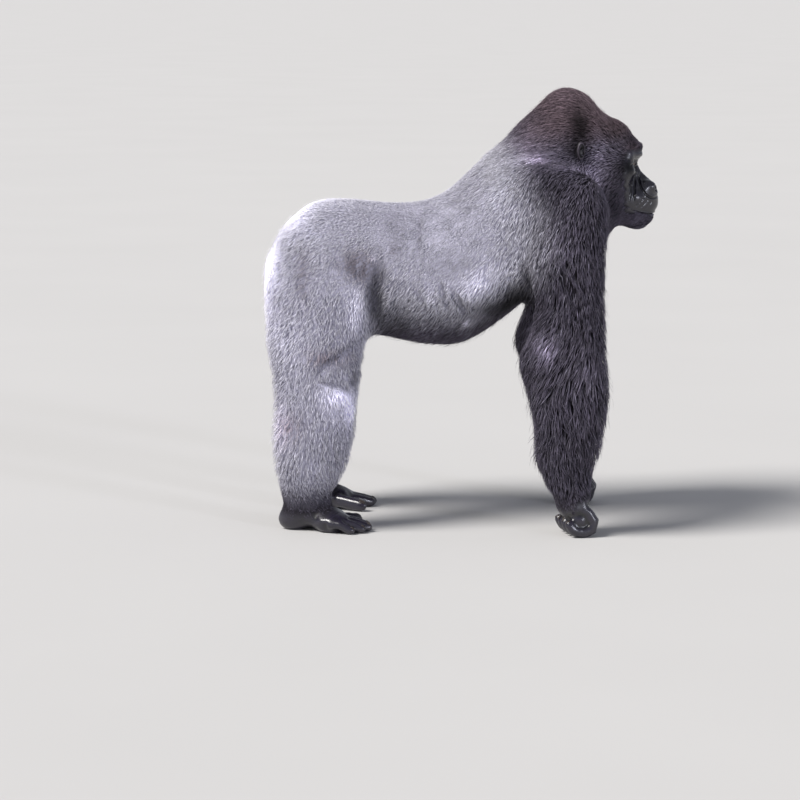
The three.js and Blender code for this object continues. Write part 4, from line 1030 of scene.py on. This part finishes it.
# ---------------------------------------------------------------- the nails
# Twenty flat black nails of horn, like a man's but thicker, each pressed on the back of the last
# bone of a finger or toe. The fingers are curled, so theirs face backward.
NAIL_THICK, NAIL_LIFT = 1.4 * MM, 0.5 * MM
NAIL_SIZES = {"great": (17, 15), "thumb": (13, 14), "toe": (11, 10), "finger": (14, 14)}
horn, horn_tree, horn_shader = new_material("black horn nail")
horn_place = add_node(horn_tree, "TexCoord")
horn_lines = add_node(horn_tree, "TexNoise", i0=horn_place.outputs["Object"], Scale=420.0, Detail=3.0)
horn_colour = add_node(
    horn_tree, "Mix", RGBA, i0=horn_lines.outputs[0], i6=linear("#1d1a1a"), i7=linear("#4a423e")
)
horn_bump = add_node(horn_tree, "Bump", i0=0.3, i1=0.3 * MM, i3=horn_lines.outputs[0])
horn_tree.links.new(horn_colour.outputs[2], horn_shader.inputs["Base Color"])
horn_tree.links.new(horn_bump.outputs[0], horn_shader.inputs["Normal"])
horn_shader.inputs["Roughness"].default_value = 0.24
hide_shape = BVHTree.FromPolygons([v.co for v in thinned.vertices], [p.vertices for p in thinned.polygons])
for name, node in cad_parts.items():
    if not any(kind in name for kind in ("finger", "thumb", "toe")):
        continue
    wide, long = next(size for kind, size in NAIL_SIZES.items() if kind in name)
    hand = -1 if name.endswith("right") else 1
    corners = [v.co.copy() for v in node.data.vertices]
    if "toe" in name:
        reach_way, back_way = Vector((1, -0.15 * hand, 0)), Vector((0, 0, 1))
    elif "thumb" in name:
        reach_way, back_way = Vector((0.2, 0, -1)), Vector((0.35, -hand, 0))
    else:
        corners = [c for c in corners if c.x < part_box(name)[0].x + 24 * MM and c.z < 60 * MM]
        reach_way, back_way = Vector((-0.3, 0, 1)), Vector((-1, 0, -0.3))
    tip = max(corners, key=lambda c: c.dot(reach_way))
    stem = [c for c in corners if 4 * MM < (c - tip).length < 26 * MM]
    ahead = (tip - sum(stem, Vector()) / len(stem)).normalized()
    back = (back_way - ahead * back_way.dot(ahead)).normalized()
    across = back.cross(ahead)
    plate = bmesh.new()
    bmesh.ops.create_grid(plate, x_segments=10, y_segments=10, size=0.5)
    seat = tip - ahead * (0.5 * long + 1.5) * MM
    for vert in plate.verts:
        u, v = vert.co.x, vert.co.y
        narrowed = 1 - 0.35 * abs(2 * v) ** 3
        probe = seat + across * u * wide * MM * narrowed + ahead * v * long * MM + back * 30 * MM
        hit = hide_shape.ray_cast(probe, -back)[0]
        crown = 1.2 * MM * (1 - (2 * u) ** 2)
        vert.co = (hit or probe - back * 24 * MM) + back * (NAIL_LIFT + crown)
    bmesh.ops.smooth_vert(
        plate, verts=plate.verts, factor=0.5, use_axis_x=True, use_axis_y=True, use_axis_z=True
    )
    bmesh.ops.recalc_face_normals(plate, faces=plate.faces)
    bmesh.ops.solidify(plate, geom=plate.faces[:], thickness=NAIL_THICK)
    bmesh.ops.recalc_face_normals(plate, faces=plate.faces)
    nail_mesh = bpy.data.meshes.new("nail of " + name)
    plate.to_mesh(nail_mesh)
    plate.free()
    nail_mesh.shade_smooth()
    nail = new_piece("nail_of_" + name, nail_mesh, horn)
    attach(nail, "root")

# ---------------------------------------------------------------- the coat
# Guard hair in small closed locks rooted in the hide. Each lock follows the comb over the body,
# rises through the coat's depth and ends in a point, and its neighbours lean into loose clumps.
rng = np.random.default_rng(7)


def lay_on_skin(targets):
    """The nearest places on the hide, and the way out of it there."""
    found = np.array([body_tree.find(target)[1] for target in targets])
    away = skin_normals[found]
    off = targets - skin_spots[found]
    return targets - away * (off * away).sum(1)[:, None], away


def along_skin(lie, away):
    flat = lie - away * (lie * away).sum(1)[:, None]
    return flat / np.maximum(np.linalg.norm(flat, axis=1), 1e-9)[:, None]


# The bake map: each coat piece's stretch of hide is unwrapped by itself from a coarse copy, and a
# lock is a small patch at its root's place there.
LOCK_PATCH = 0.003
COARSE_SHARE = 0.012
coarse_source = new_piece("coarse hide", hide_mesh.copy())
coarse = coarse_source.modifiers.new("coarse", "DECIMATE")
coarse.ratio = COARSE_SHARE
graph = bpy.context.evaluated_depsgraph_get()
coarse_mesh = bpy.data.meshes.new_from_object(coarse_source.evaluated_get(graph))
bpy.data.objects.remove(coarse_source)
coarse_spots = spots(coarse_mesh)
coarse_faces = [tuple(p.vertices) for p in coarse_mesh.polygons]
coarse_tree = BVHTree.FromPolygons([Vector(c) for c in coarse_spots], coarse_faces)


def unwrap_place(name, roots):
    hits = [coarse_tree.find_nearest(Vector(root)) for root in roots]
    used = sorted({hit[2] for hit in hits})
    order = {face: i for i, face in enumerate(used)}
    part = bpy.data.meshes.new(name + " map")
    part.from_pydata([tuple(c) for c in coarse_spots], [], [coarse_faces[face] for face in used])
    holder = new_piece(name + " map", part)
    bpy.context.view_layer.objects.active = holder
    holder.select_set(True)
    bpy.ops.object.mode_set(mode="EDIT")
    bpy.ops.mesh.select_all(action="SELECT")
    bpy.ops.uv.smart_project(angle_limit=math.radians(66), island_margin=0.004)
    bpy.ops.object.mode_set(mode="OBJECT")
    flat = part.uv_layers.active.data
    homes = np.empty((len(roots), 2))
    for i, (spot, _, face, _) in enumerate(hits):
        polygon = part.polygons[order[face]]
        corners = [Vector(coarse_spots[v]) for v in coarse_faces[face][:3]]
        flats = [flat[k].uv.to_3d() for k in list(polygon.loop_indices)[:3]]
        homes[i] = barycentric_transform(spot, *corners, *flats)[:2]
    bpy.data.objects.remove(holder)
    return np.clip(homes, 0.002, 0.996)


LOCK_WIDTH, LOCK_WIDENING = 1.2 * MM, 0.036  # a lock's width, and how much of its length adds to it
FLYAWAY = 0.07  # share of the locks that stand out of the coat
UNEVEN_SILVER, UNEVEN_DARK = 0.22, 0.5  # how much one lock differs from the next, one being double
TAPERS = {2: (1.0, 0.8), 3: (1.0, 0.9, 0.62)}


def grow(name, roots_at, steps, clump, stray):
    """Makes one piece of coat: a lock on each root, with its colouring, painted light and shade, and its bake
    map.
    """
    locks = len(roots_at)
    root, away = lay_on_skin(roots_at)
    lie, length, depth = comb(root)
    lie = along_skin(lie, away)
    turn = rng.normal(0, stray, locks)
    lie = lie * np.cos(turn)[:, None] + np.cross(away, lie) * np.sin(turn)[:, None]
    length = length * rng.uniform(0.7, 1.25, locks)
    rise = np.maximum(depth, 1.2 * MM) * rng.uniform(0.55, 1.1, locks)
    wild = rng.random(locks) < FLYAWAY
    rise = np.where(wild, rise * 1.5 + 1 * MM, rise)
    shares = np.linspace(0, 1, steps + 1)
    heights = np.sin(shares * math.pi / 2) ** 0.8
    line, ups, ways = [root - away * 1.5 * MM], [away], [lie]
    at = root
    for ring in range(1, steps + 1):
        at, up = lay_on_skin(at + lie * (length * (shares[ring] - shares[ring - 1]))[:, None])
        lie = along_skin(lie, up)
        line.append(at + up * (rise * heights[ring])[:, None])
        ups.append(up)
        ways.append(lie)
    leaders = rng.choice(locks, locks // 5, replace=False)
    flock = KDTree(len(leaders))
    for index, leader in enumerate(leaders):
        flock.insert(root[leader], index)
    flock.balance()
    leader = leaders[[flock.find(r)[1] for r in root]]
    apart = np.linalg.norm(root[leader] - root, axis=1)
    pull = clump * (apart < 0.8 * length) * ~wild
    for ring in range(1, steps + 1):
        line[ring] = line[ring] + (line[ring][leader] - line[ring]) * (pull * shares[ring] ** 1.5)[:, None]
    wide = (LOCK_WIDTH + LOCK_WIDENING * length) * rng.uniform(0.7, 1.3, locks) * np.where(wild, 0.6, 1)
    verts, tips, sides = [], [], []
    for ring, taper in enumerate(TAPERS[steps]):
        side = np.cross(ups[ring], ways[ring]) * (wide * taper / 2)[:, None]
        lift = ups[ring] * (wide * taper * 0.3)[:, None]
        verts += [line[ring] - side, line[ring] + side, line[ring] + lift]
        tips += [shares[ring]] * 3
        sides += [-0.5, 0.5, 0.0]
    verts.append(line[steps])
    tips.append(1.0)
    sides.append(0.0)
    per = len(verts)
    faces = [(2, 1, 0)]
    for ring in range(steps - 1):
        a, b = 3 * ring, 3 * ring + 3
        faces += [(a + i, a + (i + 1) % 3, b + (i + 1) % 3, b + i) for i in range(3)]
    a = 3 * (steps - 1)
    faces += [(a + i, a + (i + 1) % 3, per - 1) for i in range(3)]
    corners = np.array([corner for face in faces for corner in face])
    starts = np.cumsum([0] + [len(face) for face in faces])[:-1]
    base = np.arange(locks)[:, None]
    mesh = bpy.data.meshes.new(name)
    mesh.vertices.add(locks * per)
    mesh.vertices.foreach_set("co", np.stack(verts, 1).astype(np.float32).ravel())
    mesh.loops.add(locks * len(corners))
    mesh.loops.foreach_set("vertex_index", (corners[None] + base * per).astype(np.int32).ravel())
    mesh.polygons.add(locks * len(faces))
    mesh.polygons.foreach_set("loop_start", (starts[None] + base * len(corners)).astype(np.int32).ravel())
    mesh.update(calc_edges=True)
    mesh.shade_smooth()
    silver, brown, light = coat_marks_and_painted_light(root)
    silver = np.clip(silver + rng.normal(0, 0.16, locks) * (0.3 + 2.2 * silver * (1 - silver)), 0, 1)
    uneven = UNEVEN_SILVER + (UNEVEN_DARK - UNEVEN_SILVER) * (1 - silver)
    tone = np.clip(0.5 + (light + rng.normal(0, 1, locks) * uneven) / STOPS, 0, 1)
    marks_and_painted_light = np.stack([silver, brown, tone, np.ones(locks)], 1)
    keep(mesh, "marks_and_painted_light", np.repeat(marks_and_painted_light, per, 0), "FLOAT_COLOR")
    tips, sides = np.array(tips), np.array(sides)
    keep(mesh, "tip", np.tile(tips, locks))
    strand = np.empty((locks, per, 3))
    strand[:, :, 0] = sides[None] * wide[:, None] + rng.uniform(0, 1, locks)[:, None]
    strand[:, :, 1] = tips[None] * length[:, None] / HAIR_STRETCH
    strand[:, :, 2] = 0
    keep(mesh, "strand", strand, "FLOAT_VECTOR")
    home = unwrap_place(name, root)
    patch = np.stack([sides, tips], 1)[corners] * LOCK_PATCH
    uv = mesh.uv_layers.new(name="OFBake")
    uv.data.foreach_set("uv", (home[:, None] + patch[None]).astype(np.float32).ravel())
    piece = new_piece(name, mesh, guard_hair)
    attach(piece, "root")


# Guard hair: dark at the root and paler towards the tip, black, brown or silver by the markings,
# with single hairs showing as fine lines along each lock.
HAIR = 0.55 * MM
HAIR_STRETCH = 14
guard_hair, hair_tree, hair_shader = new_material("gorilla guard hair")
hair_marks_and_light = add_node(hair_tree, "Attribute", {"attribute_name": "marks_and_painted_light"})
hair_tip = add_node(hair_tree, "Attribute", {"attribute_name": "tip"})
hair_strand = add_node(hair_tree, "Attribute", {"attribute_name": "strand"})
hair_split = add_node(hair_tree, "SeparateColor", i0=hair_marks_and_light.outputs["Color"])
shades = [("#1d1b22", "#666070"), ("#2a2025", "#6f6068"), ("#a09eae", "#dddce6")]
black_hair, brown_hair, silver_hair = (
    add_node(hair_tree, "Mix", RGBA, i0=hair_tip.outputs["Fac"], i6=linear(root), i7=linear(tip)).outputs[2]
    for root, tip in shades
)
dark_hair = add_node(hair_tree, "Mix", RGBA, i0=hair_split.outputs[1], i6=black_hair, i7=brown_hair)
tinted = add_node(hair_tree, "Mix", RGBA, i0=hair_split.outputs[1], i6=silver_hair, i7=linear("#957f8a"))
silvered = add_node(
    hair_tree, "Mix", RGBA, i0=hair_split.outputs[0], i6=dark_hair.outputs[2], i7=tinted.outputs[2]
)
hair_lines = add_node(hair_tree, "TexNoise", i0=hair_strand.outputs["Vector"], Scale=1 / HAIR, Detail=1.0)
line_tone = add_node(hair_tree, "MapRange", i0=hair_lines.outputs[0], i1=0.3, i2=0.7, i3=0.75, i4=1.25)
# The coat's lightness, painted light and shade included, doubles with every stop.
hair_doubled = add_node(hair_tree, "Math", {"operation": "POWER"}, i0=2.0**STOPS, i1=hair_split.outputs[2])
hair_laid = add_node(
    hair_tree, "Math", {"operation": "MULTIPLY"}, i0=hair_doubled.outputs[0], i1=0.5 ** (STOPS / 2)
)
hair_tone = add_node(
    hair_tree, "Math", {"operation": "MULTIPLY"}, i0=line_tone.outputs[0], i1=hair_laid.outputs[0]
)
hair_shade = add_node(
    hair_tree, "VectorMath", {"operation": "SCALE"}, i0=silvered.outputs[2], i3=hair_tone.outputs[0]
)
hair_tree.links.new(hair_shade.outputs[0], hair_shader.inputs["Base Color"])
hair_shader.inputs["Roughness"].default_value = 0.52
hair_shader.inputs["Specular IOR Level"].default_value = 0.2

node_of = KDTree(sum(len(node.data.vertices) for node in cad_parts.values()))
owners = []
for name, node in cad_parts.items():
    for vert in node.data.vertices:
        node_of.insert(vert.co, len(owners))
        owners.append(name)
node_of.balance()

# Roots are drawn at random from the hide's corners, more closely where the hair is short, and
# ever fewer towards the naked skin.
BELLY_LINE, CROWN_LINE = 0.70, 1.10
CHEEK_NODES = ("head", "face", "lower_jaw", "ear_")
SPREAD = 1.5 * MM
can_grow = np.nonzero(rng.random(len(bare)) > 1.15 * bare)[0]
_, length_there, _ = comb(skin_spots[can_grow])
crowding = np.clip(20 * MM / length_there, 0.5, 2)
seeds = can_grow[np.argsort(rng.exponential(1, len(can_grow)) / crowding)]
seed_owner = np.array([owners[node_of.find(skin_spots[i])[1]] for i in seeds])
seed_height = skin_spots[seeds, 2]
COAT = [
    # piece, CAD nodes, from this height to that, slot, locks, steps, clump, stray
    ("coat of the crown", ("head", "face", "ear_"), (CROWN_LINE, 2), "coat_dark", 11500, 2, 0.05, 0.18),
    ("coat of the cheeks", CHEEK_NODES, (0, CROWN_LINE), "coat_dark", 15500, 2, 0.05, 0.18),
    ("coat of the neck", ("neck",), (0, 2), "coat_dark", 13500, 2, 0.1, 0.2),
    ("coat of the chest", ("chest",), (0, 2), "coat_dark", 10000, 2, 0.2, 0.22),
    ("coat of the back", ("belly",), (BELLY_LINE, 2), "coat_silver", 15500, 2, 0.0, 0.16),
    ("coat of the belly", ("belly",), (0, BELLY_LINE), "coat_silver", 10500, 2, 0.15, 0.22),
    ("coat of the rump", ("rump",), (0, 2), "coat_silver", 16000, 2, 0.05, 0.24),
    ("coat of the upper arms", ("upper_arm_",), (0, 2), "coat_dark", 16500, 2, 0.3, 0.2),
    ("coat of the forearms", ("forearm_", "hand_", "thumb_"), (0, 2), "coat_dark", 10500, 3, 0.35, 0.22),
    ("coat of the thighs", ("thigh_",), (0, 2), "coat_silver", 13500, 2, 0.05, 0.26),
    ("coat of the shanks", ("shank_", "foot_", "great_toe"), (0, 2), "coat_silver", 10500, 2, 0.15, 0.26),
]
for name, nodes, heights, slot, locks, steps, clump, stray in COAT:
    mine = np.array([owner.startswith(nodes) for owner in seed_owner])
    mine &= (seed_height > heights[0]) & (seed_height <= heights[1])
    chosen = seeds[mine][:locks]
    spread = rng.normal(0, SPREAD, (len(chosen), 3))
    grow(name.replace(" ", "_"), skin_spots[chosen] + spread, steps, clump, stray)
